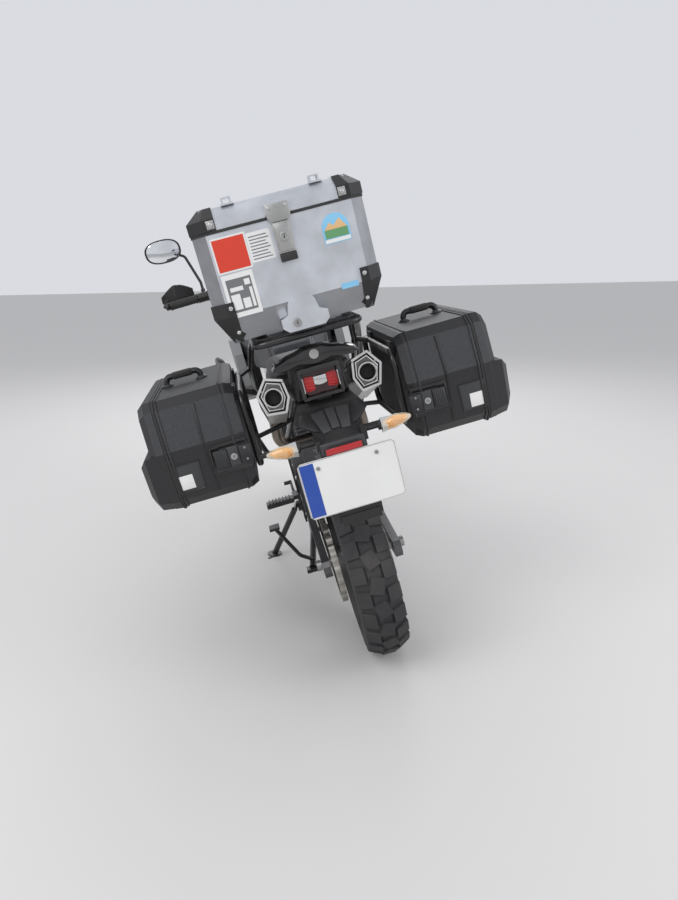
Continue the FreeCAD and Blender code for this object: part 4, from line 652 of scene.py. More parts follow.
def on_cap(spot, normal=None):
    """Whether a face lies on one of the raised corner caps."""
    low = spot.z < LOW_CAP_TOP
    reach = (LOW_CAP if low else HIGH_CAP) + 0.001
    if abs(spot.x) < CASE_HALF - reach or CASE_REAR + reach < spot.y < CASE_FRONT - reach:
        return False
    grow = 0.0 if CASE_BELT < spot.z < LID_BAND else 0.034
    side = abs(spot.x) > CASE_HALF + 0.002 - grow
    rear = spot.y < CASE_REAR - 0.002 + grow or spot.y > CASE_FRONT + 0.002 - grow
    diagonal = abs(spot.x) + abs(spot.y + 0.07) > CASE_HALF + 0.2 - CASE_CHAMFER + 0.003 - grow
    return (low or spot.z > CASE_SPLIT) and (side or rear or diagonal)


def on_fold(spot, normal):
    """Whether a face is a rear chamfer or the sloping strip at the case's foot, without the lock's plate."""
    proud = (CASE_REAR - spot.y) * 0.889 + (CASE_BELT - spot.z) * 0.458
    return normal.y < -0.2 and (0.3 < abs(normal.x) < 0.95 or normal.z < -0.25 and proud < 0.0008)


# Painted shade: the rear chamfers and the sloping strip at the foot take the darker copy of the sheet.
coat_faces("top_case_body", shaded_case_sheet, on_fold)
coat_faces("top_case_lid", shaded_case_sheet, lambda spot, normal: normal.y < -0.2 and 0.3 < abs(normal.x) < 0.95)
coat_faces("top_case_body", black_plastic, lambda spot, normal: on_cap(spot) and spot.z < LOW_CAP_TOP)
coat_faces("top_case_lid", black_plastic, on_cap)

# %% Seal and rivets
SLOPE, BACK = Vector((0, -0.889, -0.458)), (0, -1, 0)
seal = outline("case_seal", [
    (x, y, CASE_SPLIT - 0.007)
    for x, y in eight_sided(-CASE_HALF, CASE_HALF, CASE_REAR, CASE_FRONT, CASE_CHAMFER)], False)
extrude((0, 0, 0.0064))
thicken(close_up(seal), 0.0022, 1)
park(seal, grip_rubber)
for sx, side in SIDES:
    park(block("cap_plate_" + side, pair_of(sx, 0.153, 0.172), (CASE_REAR - 0.0048, CASE_REAR - 0.0028),
               (CASE_SPLIT + 0.0045, CASE_SPLIT + 0.0245), 0.0008), dull_zinc, "top_case_lid")
    for n, (x, y, z, facing, body) in enumerate((
        (0.1625, CASE_REAR - 0.0056, CASE_SPLIT + 0.0145, BACK, "top_case_lid"),
        (0.171, CASE_REAR - 0.0042, CASE_BELT + 0.020, BACK, "chassis"),
        (0.168, CASE_REAR + 0.0182, CASE_BELT - 0.042, SLOPE, "chassis"),
    )):
        park(stepped_round(f"case_rivet_{side}_{n}", (sx * x, y, z), facing, 0.0054, 0.003,
                           ((0.0016, 0.0012),), 20), polished, body)
tell("seal and rivets")

# %% Latch and locks
clasp = [(x, CASE_SPLIT + z) for x, z in (
    (-0.029, 0.026), (0.029, 0.026), (0.029, -0.004), (0.023, -0.016), (-0.023, -0.016), (-0.029, -0.004))]
park(rear_plate("latch_clasp", clasp, CASE_REAR - 0.0085, 0.0045, 0.0014), dull_zinc, "top_case_lid")
for sx, side in SIDES:
    park(stepped_round("latch_pin_" + side, (sx * 0.021, CASE_REAR - 0.0135, CASE_SPLIT + 0.017), BACK,
                       0.004, 0.002, ((0.0012, 0.0008),), 16), polished, "top_case_lid")
lever = [(x, CASE_SPLIT + z) for x, z in (
    (-0.020, -0.018), (0.020, -0.018), (0.022, -0.034), (0.020, -0.090), (-0.020, -0.090), (-0.022, -0.034))]
park(rear_plate("latch_lever", lever, CASE_REAR - 0.0005, 0.012, 0.0015, (0.004, 0.003)), dull_zinc)
park(block("latch_tip", (-0.0205, 0.0205), (CASE_REAR - 0.0135, CASE_REAR - 0.0005),
           (CASE_SPLIT - 0.110, CASE_SPLIT - 0.0905), 0.002), grip_rubber)
for name, x, y, z in (
    ("latch_lock", 0.0, CASE_REAR - 0.0165, CASE_SPLIT - 0.052),
    ("case_lock_barrel", -0.022, CASE_REAR - 0.0085, CASE_BOTTOM + 0.012),
):
    park(stepped_round(name, (x, y, z), BACK, 0.0115, 0.004,
                       ((0.002, 0.0012), (0.0025, -0.0022), (0.003, 0.0015))), dull_zinc)
    # Painted shade: a black block stands for the dark hollow of the keyway.
    park(block(name + "_keyway", (x - 0.0012, x + 0.0012), (y - 0.0033, y - 0.002), (z - 0.004, z + 0.004),
               0.0003), gloss_black)
tell("latch and locks")

# %% [markdown]
# ## Stickers
# Thin printed film, a fraction of a millimetre proud of the sheet. Their prints are plain shapes: colour
# fields, bands and a hill under a sun.

# %% Stickers
sticker_red = plain_colour("red film", (0.62, 0.045, 0.02))
sticker_white = plain_colour("white film", (0.72, 0.72, 0.71))
sticker_grey = plain_colour("grey print", (0.16, 0.16, 0.17))
sticker_sky = plain_colour("blue film", (0.22, 0.50, 0.72))
sticker_green = plain_colour("green print", (0.12, 0.30, 0.13))
sticker_sand = plain_colour("sand print", (0.66, 0.42, 0.20))
FILM = 0.0005


def film(name, x, z, finish, layer=0):
    """A rectangle of film on the case's rear face."""
    front = CASE_REAR - FILM * layer
    park(block("film_" + name, x, (front - FILM, front + 0.0001), z, 0.0002, 1), finish)


film("square_border", (-0.176, -0.090), (1.258, 1.342), sticker_white)
film("square", (-0.172, -0.094), (1.262, 1.338), sticker_red, 1)
film("sheet", (-0.089, -0.030), (1.266, 1.336), sticker_white)
for n in range(8):
    film(f"sheet_line_{n}", (-0.084, -0.036 - 0.004 * (n % 3)), (1.272 + 0.0075 * n, 1.2745 + 0.0075 * n),
         sticker_grey, 1)
film("frame", (-0.174, -0.096), (1.150, 1.254), sticker_white)
film("frame_inner", (-0.166, -0.104), (1.162, 1.242), sticker_grey, 1)
for n, (x0, x1, z0, z1) in enumerate((
    (-0.162, -0.140, 1.168, 1.205), (-0.136, -0.118, 1.168, 1.192), (-0.114, -0.107, 1.168, 1.215),
    (-0.160, -0.128, 1.212, 1.222), (-0.122, -0.108, 1.222, 1.236))):
    film(f"frame_shape_{n}", (x0, x1), (z0, z1), sticker_white, 2)
film("label", (0.108, 0.152), (1.150, 1.164), sticker_sky)

ARCH_X, ARCH_Z, ARCH_RADIUS = 0.128, 1.298, 0.034
arch = [(ARCH_X + ARCH_RADIUS * math.cos(turn), ARCH_Z + ARCH_RADIUS * math.sin(turn))
        for turn in (math.radians(a) for a in range(0, 181, 15))] + [(0.094, 1.262), (0.162, 1.262)]
park(rear_plate("film_arch", arch, CASE_REAR + 0.0001, FILM + 0.0001, 0.0001), sticker_sky)
film("arch_field", (0.099, 0.157), (1.275, 1.295), sticker_green, 1)
hill = ((0.100, 1.295), (0.114, 1.312), (0.124, 1.303), (0.140, 1.318), (0.156, 1.295))
park(rear_plate("film_arch_hill", hill, CASE_REAR - FILM, FILM, 0.0001), sticker_sand)
film("arch_band", (0.096, 0.160), (1.264, 1.273), sticker_white, 1)
tell("stickers")

# %% [markdown]
# ## Tail lamp and wing
# The lamp has two red windows with a silver strip between them under a hood, and a wing hangs over it.
# Each is a flat outline pushed to its thickness, which keeps its edges crisp.

# %% Tail lamp
LAMP_FACE = -0.2262
coat_faces("tail_lamp", smoked_lens, lambda spot, normal: True)
WINDOW = ((0.018, 0.917), (0.040, 0.913), (0.0455, 0.920), (0.0445, 0.950), (0.040, 0.956), (0.018, 0.953))
CHEEK = ((0.047, 0.897), (0.057, 0.901), (0.057, 0.978), (0.047, 0.978))
for sx, side in SIDES:
    park(rear_plate("lamp_window_" + side, WINDOW, LAMP_FACE, 0.006, 0.0015, (0.003, 0.0012), sx), red_lens)
    for n in range(4):
        park(block(f"lamp_line_{side}_{n}", pair_of(sx, 0.0215, 0.0405), (-0.2342, -0.2330),
                   (0.9205 + 0.0088 * n, 0.9220 + 0.0088 * n), 0.0003, 1), red_lens)
    park(rear_plate("lamp_cheek_" + side, CHEEK, -0.243, -0.022, 0.0015, sx=sx), gloss_black)
    park(block("lamp_edge_" + side, pair_of(sx, 0.0462, 0.0485), (-0.2440, -0.2300), (0.915, 0.956), 0.0008),
         silver_reflector)
STRIP = ((-0.0175, 0.930), (-0.006, 0.926), (0.006, 0.926), (0.0175, 0.930), (0.0175, 0.951),
         (-0.0175, 0.951))
park(rear_plate("lamp_strip", STRIP, LAMP_FACE, 0.0045, 0.0015), silver_reflector)
for n in range(3):
    park(block(f"lamp_rib_{n}", (-0.015, 0.015), (-0.2315, -0.2304),
               (0.9325 + 0.0062 * n, 0.9340 + 0.0062 * n), 0.0003), silver_reflector)
for name, z, rear in (("lamp_hood_top", (0.968, 0.980), -0.250), ("lamp_hood_sill", (0.893, 0.903), -0.243)):
    park(block(name, (-0.055, 0.055), (rear, -0.222), z, 0.002), gloss_black)
tell("tail lamp")

# %% Tail wing
WING = ((0.0, 1.026), (0.024, 1.025), (0.046, 1.018), (0.076, 1.012), (0.106, 1.002), (0.118, 0.990),
        (0.100, 0.984), (0.070, 0.986), (0.044, 0.992), (0.022, 0.986), (0.0, 0.982))
wing = from_behind(WING, -0.240) + from_behind(WING[-2:0:-1], -0.240, -1)
park(outline_plate("tail_wing", wing, (0, 0.040, 0.006), 0.0035), gloss_black)
park(stepped_round("tail_roundel", (0, -0.2415, 1.010), BACK, 0.0125, 0.003, ((0.0022, -0.0010),), 40),
     dull_zinc)
for sx, side in SIDES:
    coat_faces("side_panel_" + side, black_plastic, lambda spot, normal: sx * normal.x < -0.2)
tell("tail wing")

# %% [markdown]
# ## Mufflers
# The muffler tips are six-sided rings, painted brighter than steel as a highlight, round a darker dish, with
# a black outlet of soot and painted shade. The frame already has the dish, so its faces get their finishes
# by place, and only the ridge, the rolled lip, the dark disc in the outlet and the rivets are added.

# %% Muffler tips
smoked_steel = metal("smoked steel", (0.20, 0.195, 0.19), 0.36, scratch=0.3, stretch=(1.0, 1.0, 14.0))
# Near black: soot in the outlet, and painted shade for the depth of the pipe.
soot = plain_colour("soot", (0.012, 0.011, 0.010), 0.85)
SLOT_OF[smoked_steel.name] = SLOT_OF[soot.name] = "muffler_steel"
TIP_HALF, TIP_TALL = 0.0455, 0.056
MUFFLER_REAR = upright_box("muffler_right")[0].y
spots = [UPRIGHT @ vertex.co for vertex in nodes["muffler_right"].data.vertices]
tip_spots = [spot for spot in spots if spot.y < MUFFLER_REAR + 0.012]
MUFFLER_X = max(spot.x for spot in tip_spots) - TIP_HALF
MUFFLER_Z = max(spot.z for spot in tip_spots) - TIP_TALL
OUTLET_X, OUTLET_Z, LIP = MUFFLER_X + 0.002, MUFFLER_Z - 0.001, 0.0245
SIX_SIDED = ((-0.51, -0.91), (0.68, -0.80), (1.0, 0.24), (0.29, 1.0), (-0.75, 0.73), (-0.90, -0.18))
print("muffler tip at", round(MUFFLER_X, 3), round(MUFFLER_REAR, 3), round(MUFFLER_Z, 3))


def near_outlet(spot, radius):
    """Whether a point is within a radius of the outlet's axis."""
    return math.hypot(abs(spot.x) - OUTLET_X, spot.z - OUTLET_Z) < radius


for sx, side in SIDES:
    node = "muffler_" + side
    # Painted highlight: the tip rings take the extra-bright steel.
    coat_faces(node, tip_steel, lambda spot, normal: (
        spot.y < MUFFLER_REAR + 0.015 and not near_outlet(spot, 0.027)))
    coat_faces(node, smoked_steel, lambda spot, normal: (
        0.0012 < spot.y - MUFFLER_REAR < 0.012 and normal.y < -0.3 and not near_outlet(spot, 0.027)))
    coat_faces(node, soot, lambda spot, normal: near_outlet(spot, 0.0232))
    ridge = from_behind([(MUFFLER_X + across * 0.032, MUFFLER_Z + up * 0.041) for across, up in SIX_SIDED],
                        MUFFLER_REAR + 0.0075, sx)
    park(hoop("muffler_ridge_" + side, ridge, (0, -0.0065, 0), 0.0034), tip_steel)
    outlet = from_behind([(sx * OUTLET_X + LIP * math.cos(turn), OUTLET_Z + LIP * math.sin(turn))
                          for turn in (n * math.tau / 48 for n in range(48))], MUFFLER_REAR + 0.004)
    park(hoop("muffler_lip_" + side, outlet, (0, -0.007, 0), 0.0045, 0.0012), polished)
    # A dark disc set into the outlet: painted shade of the pipe's depth, with its soot.
    park(stepped_round("muffler_bore_" + side, (sx * OUTLET_X, MUFFLER_REAR + 0.014, OUTLET_Z), BACK,
                       0.0215, 0.002, ((0.004, 0.0005),), 40), soot)
    for n, (across, up) in enumerate(((-0.72, 0.60), (0.62, 0.40), (0.60, -0.62))):
        spot = (sx * (MUFFLER_X + across * TIP_HALF), MUFFLER_REAR + 0.0015, MUFFLER_Z + up * TIP_TALL)
        park(stepped_round(f"muffler_rivet_{side}_{n}", spot, BACK, 0.0028, 0.0035, ((0.0009, 0.0006),), 14),
             dull_zinc)
tell("muffler tips")

# %% [markdown]
# ## Mudguard, indicators and number plate
# The mudguard has raised fields on its slope and a red reflector. An indicator is an amber core in a
# clear lens: two spheres pulled to a drop. The plate is blank, in a metal rim with a blue band and two
# screws.

# %% Rear mudguard's panels and reflector
PANEL_FOOT, PANEL_TOP = Vector((0, -0.3866, 0.795)), Vector((0, -0.2372, 0.864))
slope = (PANEL_TOP - PANEL_FOOT).normalized()
out_of_panel = Vector((0, -slope.z, slope.y))


def on_panel(name, corners, raised, edge, sx=1):
    """A raised field on the mudguard's sloping top: corners are (x, distance up the slope)."""
    foot = PANEL_FOOT - out_of_panel * 0.0005
    spots = [Vector((sx * x, 0, 0)) + foot + slope * along for x, along in corners]
    return outline_plate(name, spots, out_of_panel * raised, edge)


SPINE = ((-0.0105, 0.064), (0.0105, 0.064), (0.0125, 0.150), (-0.0125, 0.150))
RIB = ((0.0135, 0.060), (0.036, 0.056), (0.052, 0.146), (0.0165, 0.150))
WEDGE = ((0.044, 0.066), (0.058, 0.074), (0.090, 0.112), (0.080, 0.150), (0.058, 0.150))
park(on_panel("mudguard_spine", SPINE, 0.010, 0.002), dark_plastic)
for sx, side in SIDES:
    park(on_panel("mudguard_rib_" + side, RIB, 0.008, 0.002, sx), dark_plastic)
    park(on_panel("mudguard_wedge_" + side, WEDGE, 0.010, 0.003, sx), black_plastic)
for name, half, y, z, edge, segments, finish in (
    ("reflector_housing", 0.057, (-0.3935, -0.372), (0.779, 0.812), 0.004, 3, dark_plastic),
    ("housing_ledge", 0.040, (-0.3945, -0.390), (0.8015, 0.8045), 0.001, 2, black_plastic),
    ("reflector_base", 0.050, (-0.3962, -0.386), (0.7795, 0.800), 0.003, 2, gloss_black),
    ("reflector", 0.046, (-0.3995, -0.396), (0.7825, 0.7985), 0.0045, 3, red_lens),
):
    park(block(name, (-half, half), y, z, edge, segments), finish)
tell("mudguard")

# %% Indicators
BULB, BULB_SIZE, BULB_TAPER = Vector((0.148, -0.353, 0.807)), Vector((0.0415, 0.0215, 0.0225)), 0.42
lens_skin = lens("indicator lens", (0.90, 0.76, 0.52), alpha=0.34, rough=0.05)
SLOT_OF[lens_skin.name] = "clear_lens"
for sx, side in SIDES:
    coat_faces("rear_mudguard", silver_reflector, lambda spot, normal: spot.x * sx > 0.1095)
    for name, size, finish in (("indicator_core_", 0.78, amber_lens), ("indicator_lens_", 1.0, lens_skin)):
        bpy.ops.mesh.primitive_uv_sphere_add(
            segments=40, ring_count=20, radius=1, location=(0, 0, 0), rotation=(0, math.radians(90), 0))
        bulb = take(name + side)
        bpy.ops.object.transform_apply(location=False, rotation=True, scale=True)
        for vertex in bulb.data.vertices:
            outwards = vertex.co.x * sx
            taper = 1.0 - BULB_TAPER * (outwards + 1) / 2
            reach = outwards if outwards > 0 else -abs(outwards) ** 1.6
            vertex.co.x = sx * (BULB.x + BULB_SIZE.x * size * reach)
            vertex.co.y = BULB.y + BULB_SIZE.y * size * vertex.co.y * taper
            vertex.co.z = BULB.z + BULB_SIZE.z * size * vertex.co.z * taper + 0.006 * (outwards + 1) / 2
        park(bulb, finish)
    for n in range(6):
        park(block(f"indicator_rib_{side}_{n}", pair_of(sx, 0.124 + 0.008 * n, 0.1254 + 0.008 * n),
                   (-0.3725 + 0.0012 * n, -0.3705 + 0.0012 * n), (0.798 + 0.001 * n, 0.818 - 0.0005 * n),
                   0.0003, 1), amber_lens)
    park(stepped_round("indicator_collar_" + side, (sx * 0.107, -0.345, 0.808), (sx, 0, 0), 0.0125, 0.010,
                       ((0.003, 0.001),), 24), grip_rubber)
tell("indicators")

# %% Number plate
RIM_IN, RIM_CUT = 0.0015, 0.0065
low, high = upright_box("number_plate")
rim = eight_sided(low.x + RIM_IN, high.x - RIM_IN, low.z + RIM_IN, high.z - RIM_IN, RIM_CUT)
park(hoop("plate_rim", from_behind(rim, low.y + 0.0002), (0, -0.0012, 0), 0.002, 0.0004), polished)
park(block("plate_band", (low.x + 0.004, low.x + 0.040), (low.y - 0.0006, low.y + 0.0001),
           (low.z + 0.005, high.z - 0.005), 0.0002, 1), plate_blue)
for n, x in enumerate((-0.075, 0.075)):
    z = high.z - 0.022
    park(stepped_round(f"plate_screw_{n}", (x, low.y - 0.0012, z), BACK, 0.0052, 0.0028,
                       ((0.0014, 0.0008),), 20), dull_zinc)
    # Painted shade: a black block stands for the dark hollow of the screw's slot.
    park(block(f"plate_screw_slot_{n}", (x - 0.003, x + 0.003), (low.y - 0.0038, low.y - 0.0033),
               (z - 0.0006, z + 0.0006), 0.0001, 1), gloss_black)
tell("number plate")

# %% [markdown]
# ## Panniers
# The rear faces lean a little in above and below their crease, so everything on them is placed by its
# height. Each case gets a latch, a field with a blank label, a rubber line in its seam and moulded ribs.
# The field is not sunk: its dark border is painted shadow and its lighter floor painted sheen, and a dark
# strip beside the spine is the spine's painted shadow.

# %% A pannier's faces
P_IN, P_SPLIT, P_OUT, P_SWELL = 0.232, 0.452, 0.492, 0.034
P_REAR, P_FRONT, P_LOW, P_HIGH = -0.185, 0.300, 0.684, 0.986
P_CREASE = 0.45 * P_LOW + 0.55 * P_HIGH


def rear_y(z):
    """Where a pannier's rear face is at a height."""
    if z > P_CREASE:
        return P_REAR + 0.020 * (z - P_CREASE) / (P_HIGH - 0.024 - P_CREASE)
    return P_REAR + 0.008 * (P_CREASE - z) / (P_CREASE - P_LOW - 0.026)


def pannier_hoop(name, x, grow, push, thickness, edge=0.0006):
    """A wall round a pannier's outline in the side view, at one distance from the middle."""
    rear, front, low, high = P_REAR - grow, P_FRONT + grow, P_LOW - grow, P_HIGH + grow
    return hoop(name, [(x, y, z) for y, z in (
        (rear + 0.034, low), (front - 0.026, low), (front - 0.004, low + 0.030), (front, P_CREASE),
        (front - 0.012, high - 0.026), (front - 0.040, high), (rear + 0.046, high),
        (rear + 0.020, high - 0.024), (rear, P_CREASE), (rear + 0.008, low + 0.026))],
        (push, 0, 0), thickness, edge)


def skin_plate(name, corners, deep, edge, sx, sunk=0.001):
    """A plate that follows a pannier's rear face."""
    return rear_plate(name, corners, lambda z: rear_y(z) + sunk, deep, edge, None, sx)


# %% Seams, ribs, spines and label fields
FOOT, TOP = P_LOW + 0.030, P_HIGH - 0.028
SPINE = ((0.338, FOOT), (0.344, FOOT), (0.349, P_CREASE), (0.344, TOP), (0.338, TOP), (0.343, P_CREASE))
# A thin dark strip beside the spine: painted shadow of the ridge.
SPINE_SHADOW = ((0.3355, FOOT), (0.338, FOOT), (0.343, P_CREASE), (0.338, TOP), (0.3355, TOP), (0.3405, P_CREASE))
FIELD, LABEL = [[(x, P_CREASE - down) for x, down in corners] for corners in (
    ((0.376, 0.122), (0.4435, 0.122), (0.4435, 0.042), (0.371, 0.042)),
    ((0.399, 0.114), (0.4405, 0.114), (0.4405, 0.074), (0.399, 0.074)))]
for sx, side in SIDES:
    park(pannier_hoop("pannier_seal_" + side, sx * (P_SPLIT - 0.007), 0.001, sx * 0.0065, 0.0036),
         grip_rubber)
    for name, x in (("pannier_rib_outer_", P_SPLIT - 0.016), ("pannier_rib_inner_", P_IN + 0.030)):
        park(pannier_hoop(name + side, sx * x, 0.0012, sx * 0.006, 0.004, 0.001), pannier_skin)
    park(skin_plate("pannier_spine_" + side, SPINE, 0.0036, 0.0014, sx), pannier_skin)
    # Painted shadow beside the spine.
    park(skin_plate("pannier_groove_" + side, SPINE_SHADOW, 0.0014, 0.0003, sx), gloss_black)
    # The field is not sunk: its dark border is a painted shadow of the sunken edge, and the lighter charcoal
    # floor a painted sheen.
    border = from_behind(FIELD, lambda z: rear_y(z) + 0.001, sx)
    park(hoop("pannier_field_" + side, border, (0, -0.0035, 0), 0.0045, 0.0012), gloss_black)
    park(skin_plate("pannier_field_floor_" + side, FIELD, 0.0016, 0.0004, sx), dark_plastic)
    park(skin_plate("pannier_label_" + side, LABEL, 0.0007, 0.0002, sx, -0.0006), plate_white)
tell("pannier seams and fields")

# %% [markdown]
# A latch sits in a recess, drawn as a dark plate that is painted shade: three clasps with a lock in the
# middle one, held by two screws. The handle on top has a rubber grip on two feet, and the lid has ribs and a
# reflector that turn with it.

# %% Pannier latches
LATCH_LOW, LATCH_HIGH, LATCH_FACE = P_CREASE - 0.084, P_CREASE - 0.026, P_REAR - 0.009
LATCH_MIDDLE = (LATCH_LOW + LATCH_HIGH) / 2
RECESS = [(P_IN + x, z) for x, z in (
    (0.002, LATCH_LOW - 0.013), (0.104, LATCH_LOW - 0.013), (0.108, LATCH_LOW - 0.006),
    (0.104, LATCH_HIGH + 0.008), (0.098, LATCH_HIGH + 0.013), (0.002, LATCH_HIGH + 0.013))]
for sx, side in SIDES:
    # Painted shade: the recess is a dark plate standing proud, not a hollow.
    park(rear_plate("latch_recess_" + side, RECESS, P_REAR + 0.004, 0.0075, 0.002, (0.004, -0.002), sx),
         gloss_black)
    for name, start, end, low, high, deep, finish in (
        ("clasp_inner_", -0.007, 0.027, 0.006, 0.004, 0.0065, pannier_skin),
        ("clasp_middle_", 0.0285, 0.058, 0.002, 0.002, 0.0030, dark_plastic),
        ("clasp_outer_", 0.060, 0.097, 0.003, 0.003, 0.0045, pannier_skin),
    ):
        park(block(name + side, pair_of(sx, P_IN + start, P_IN + end), (LATCH_FACE - deep, P_REAR),
                   (LATCH_LOW + low, LATCH_HIGH - high), 0.0022, 3), finish)
    for n in range(5):
        x = P_IN + 0.067 + 0.0056 * n
        park(block(f"clasp_ridge_{side}_{n}", pair_of(sx, x, x + 0.0026),
                   (LATCH_FACE - 0.0058, LATCH_FACE - 0.0040), (LATCH_LOW + 0.009, LATCH_HIGH - 0.009),
                   0.0006), dark_plastic)
    spot = (sx * (P_IN + 0.043), LATCH_FACE - 0.0045, LATCH_MIDDLE)
    park(stepped_round("pannier_lock_" + side, spot, BACK, 0.0092, 0.004,
                       ((0.0018, 0.001), (0.002, -0.002), (0.002, 0.001))), dull_zinc)
    # Painted shade: a black block stands for the dark hollow of the keyway.
    park(block("pannier_keyway_" + side, pair_of(sx, P_IN + 0.0422, P_IN + 0.0438),
               (LATCH_FACE - 0.0072, LATCH_FACE - 0.0062), (LATCH_MIDDLE - 0.003, LATCH_MIDDLE + 0.003),
               0.0002, 1), gloss_black)
    for n, z in enumerate((LATCH_LOW + 0.014, LATCH_HIGH - 0.012)):
        park(stepped_round(f"pannier_screw_{side}_{n}", (sx * (P_IN + 0.010), LATCH_FACE - 0.0075, z), BACK,
                           0.0030, 0.003, ((0.001, -0.0008),), 16), dull_zinc)
tell("pannier latches")

# %% Pannier handles and lids
for sx, side in SIDES:
    for n, x in enumerate((P_IN + 0.084, P_IN + 0.186)):
        park(stepped_round(f"pannier_handle_foot_{side}_{n}", (sx * x, 0.060, P_HIGH + 0.002), (0, 0, 1),
                           0.017, 0.006, ((0.004, 0.003),), 28, 0.001), dark_plastic)
    park(block("pannier_handle_grip_" + side, pair_of(sx, P_IN + 0.104, P_IN + 0.166), (0.049, 0.071),
               (P_HIGH + 0.0165, P_HIGH + 0.0375), 0.007, 4), grip_rubber)
    lid = side + "_pannier_lid"
    for n in range(3):
        y = P_REAR + 0.110 + 0.100 * n
        park(block(f"lid_rib_{side}_{n}", pair_of(sx, P_OUT - 0.001, P_OUT + 0.0022), (y, y + 0.064),
                   (P_CREASE + 0.022, P_HIGH - 0.045), 0.001), pannier_skin, lid)
    park(block("lid_reflector_" + side, pair_of(sx, P_OUT + P_SWELL - 0.0005, P_OUT + P_SWELL + 0.002),
               (P_REAR + 0.100, P_REAR + 0.170), (P_LOW + 0.075, P_LOW + 0.093), 0.001), red_lens, lid)
tell("pannier handles and lids")

# %% [markdown]
# ## Headlamps, tank cap, grips and mirrors
# The two headlamps are turned bowls under turned domes. The grips are turned too, with fine rings for a
# firm hold, and each mirror is an oval pane in a rim.

# %% Headlamps and tank cap
LAMP_AHEAD, LAMP_CENTRE = Vector((0, 0.998, 0.06)), Vector((0, 1.4075, 1.012))
for sx, side in SIDES:
    centre = LAMP_CENTRE + Vector((sx * 0.039, 0, 0.012))
    park(lathe("headlamp_bowl_" + side, centre, LAMP_AHEAD, (
        (0.033, -0.006), (0.0345, 0.004), (0.030, 0.0045), (0.022, -0.002), (0.014, -0.004))),
        silver_reflector)
    park(lathe("headlamp_dome_" + side, centre, LAMP_AHEAD, (
        (0.0295, 0.003), (0.0285, 0.006), (0.024, 0.0095), (0.016, 0.0125), (0.006, 0.0140)), 48, 0.0002),
        clear_lens)
CAP_Y, CAP_Z = 0.830, upright_box("fuel_tank")[1].z
park(lathe("tank_cap", (0, CAP_Y, CAP_Z), (0, 0, 1), (
    (0.0385, -0.004), (0.0385, 0.001), (0.0365, 0.0025), (0.030, 0.0025), (0.029, 0.001), (0.018, 0.001),
    (0.017, 0.003), (0.009, 0.0034))), satin_alloy)
for n in range(6):
    turn = n * math.tau / 6
    spot = (0.033 * math.cos(turn), CAP_Y + 0.033 * math.sin(turn), CAP_Z + 0.0015)
    park(lathe(f"tank_cap_bolt_{n}", spot, (0, 0, 1), (
        (0.0028, 0.0), (0.0028, 0.0025), (0.0014, 0.0026), (0.0013, 0.001)), 16, 0.0002), dull_zinc)
tell("headlamps and tank cap")

# %% Grips and mirrors
GRIP_IN, GRIP_OUT = Vector((0.290, 1.046, 1.174)), Vector((0.432, 1.012, 1.172))
rings = [(0.0166, 0.026), (0.0195, 0.0262), (0.0195, 0.030)]
for n in range(15):
    rings += [(radius, along + 0.0066 * n) for radius, along in (
        (0.0166, 0.0305), (0.0166, 0.0335), (0.0176, 0.0340), (0.0176, 0.0368))]
rings += [(0.0166, 0.133), (0.0185, 0.1335), (0.0185, 0.1395), (0.010, 0.140)]
for sx, side in SIDES:
    mirrored = Vector((sx, 1, 1))
    start = GRIP_IN * mirrored
    park(lathe("grip_" + side, start, GRIP_OUT * mirrored - start, rings, 32, 0.0002),
         grip_rubber, "steering")

MIRROR = Vector((0.394, 1.078, 1.392))
PANE_SIZE, PANE_BACK = 0.93, Vector((0, -0.0008, 0))
for sx, side in SIDES:
    oval = []
    for n in range(56):
        across, tall = math.cos(n * math.tau / 56), math.sin(n * math.tau / 56)
        oval.append((sx * (MIRROR.x + 0.0725 * math.copysign(abs(across) ** 0.8, across)),
                     MIRROR.y - 0.0082, MIRROR.z + 0.045 * math.copysign(abs(tall) ** 0.8, tall)))
    centre = Vector((sx * MIRROR.x, MIRROR.y, MIRROR.z))
    glass = [centre + (Vector(p) - centre) * PANE_SIZE + PANE_BACK for p in oval]
    park(hoop("mirror_rim_" + side, oval, (0, 0.012, 0), 0.0055, 0.0015), gloss_black, "steering")
    park(outline_plate("mirror_pane_" + side, glass, (0, -0.0012, 0), 0.0003), mirror_glass, "steering")
tell("grips and mirrors")

# %% [markdown]
# ## Wheels, brakes and fork
# Black rims, silver spokes and hubs, and ground steel discs: one solid gets several finishes by radius.

# %% Finishes by radius
black_rim = paint("black anodised rim", (0.018, 0.018, 0.020), 0.38, 0.15)
hub_alloy = metal("cast hub alloy", (0.34, 0.34, 0.35), 0.45, 0.1)
fork_chrome = metal("hard chrome", (0.78, 0.78, 0.78), 0.08, 0.03)
RAKE = math.radians(28)
AXIS_FOOT = Vector((0, 1.613, 0))
AXIS = Vector((0, -math.sin(RAKE), math.cos(RAKE)))
AHEAD = Vector((0, math.cos(RAKE), math.sin(RAKE)))
CHROME_END, CALIPER_FROM, CALIPER_TO, CALIPER_BEHIND = 0.914, 0.43, 0.56, -0.014
REAR_HUB, FRONT_HUB = (0, 0.320), (1.5, 0.3477)


def on_axis(spot):
    """How far along the steering axis a point is, and how far ahead of it."""
    return (spot - AXIS_FOOT).dot(AXIS), (spot - AXIS_FOOT).dot(AHEAD)


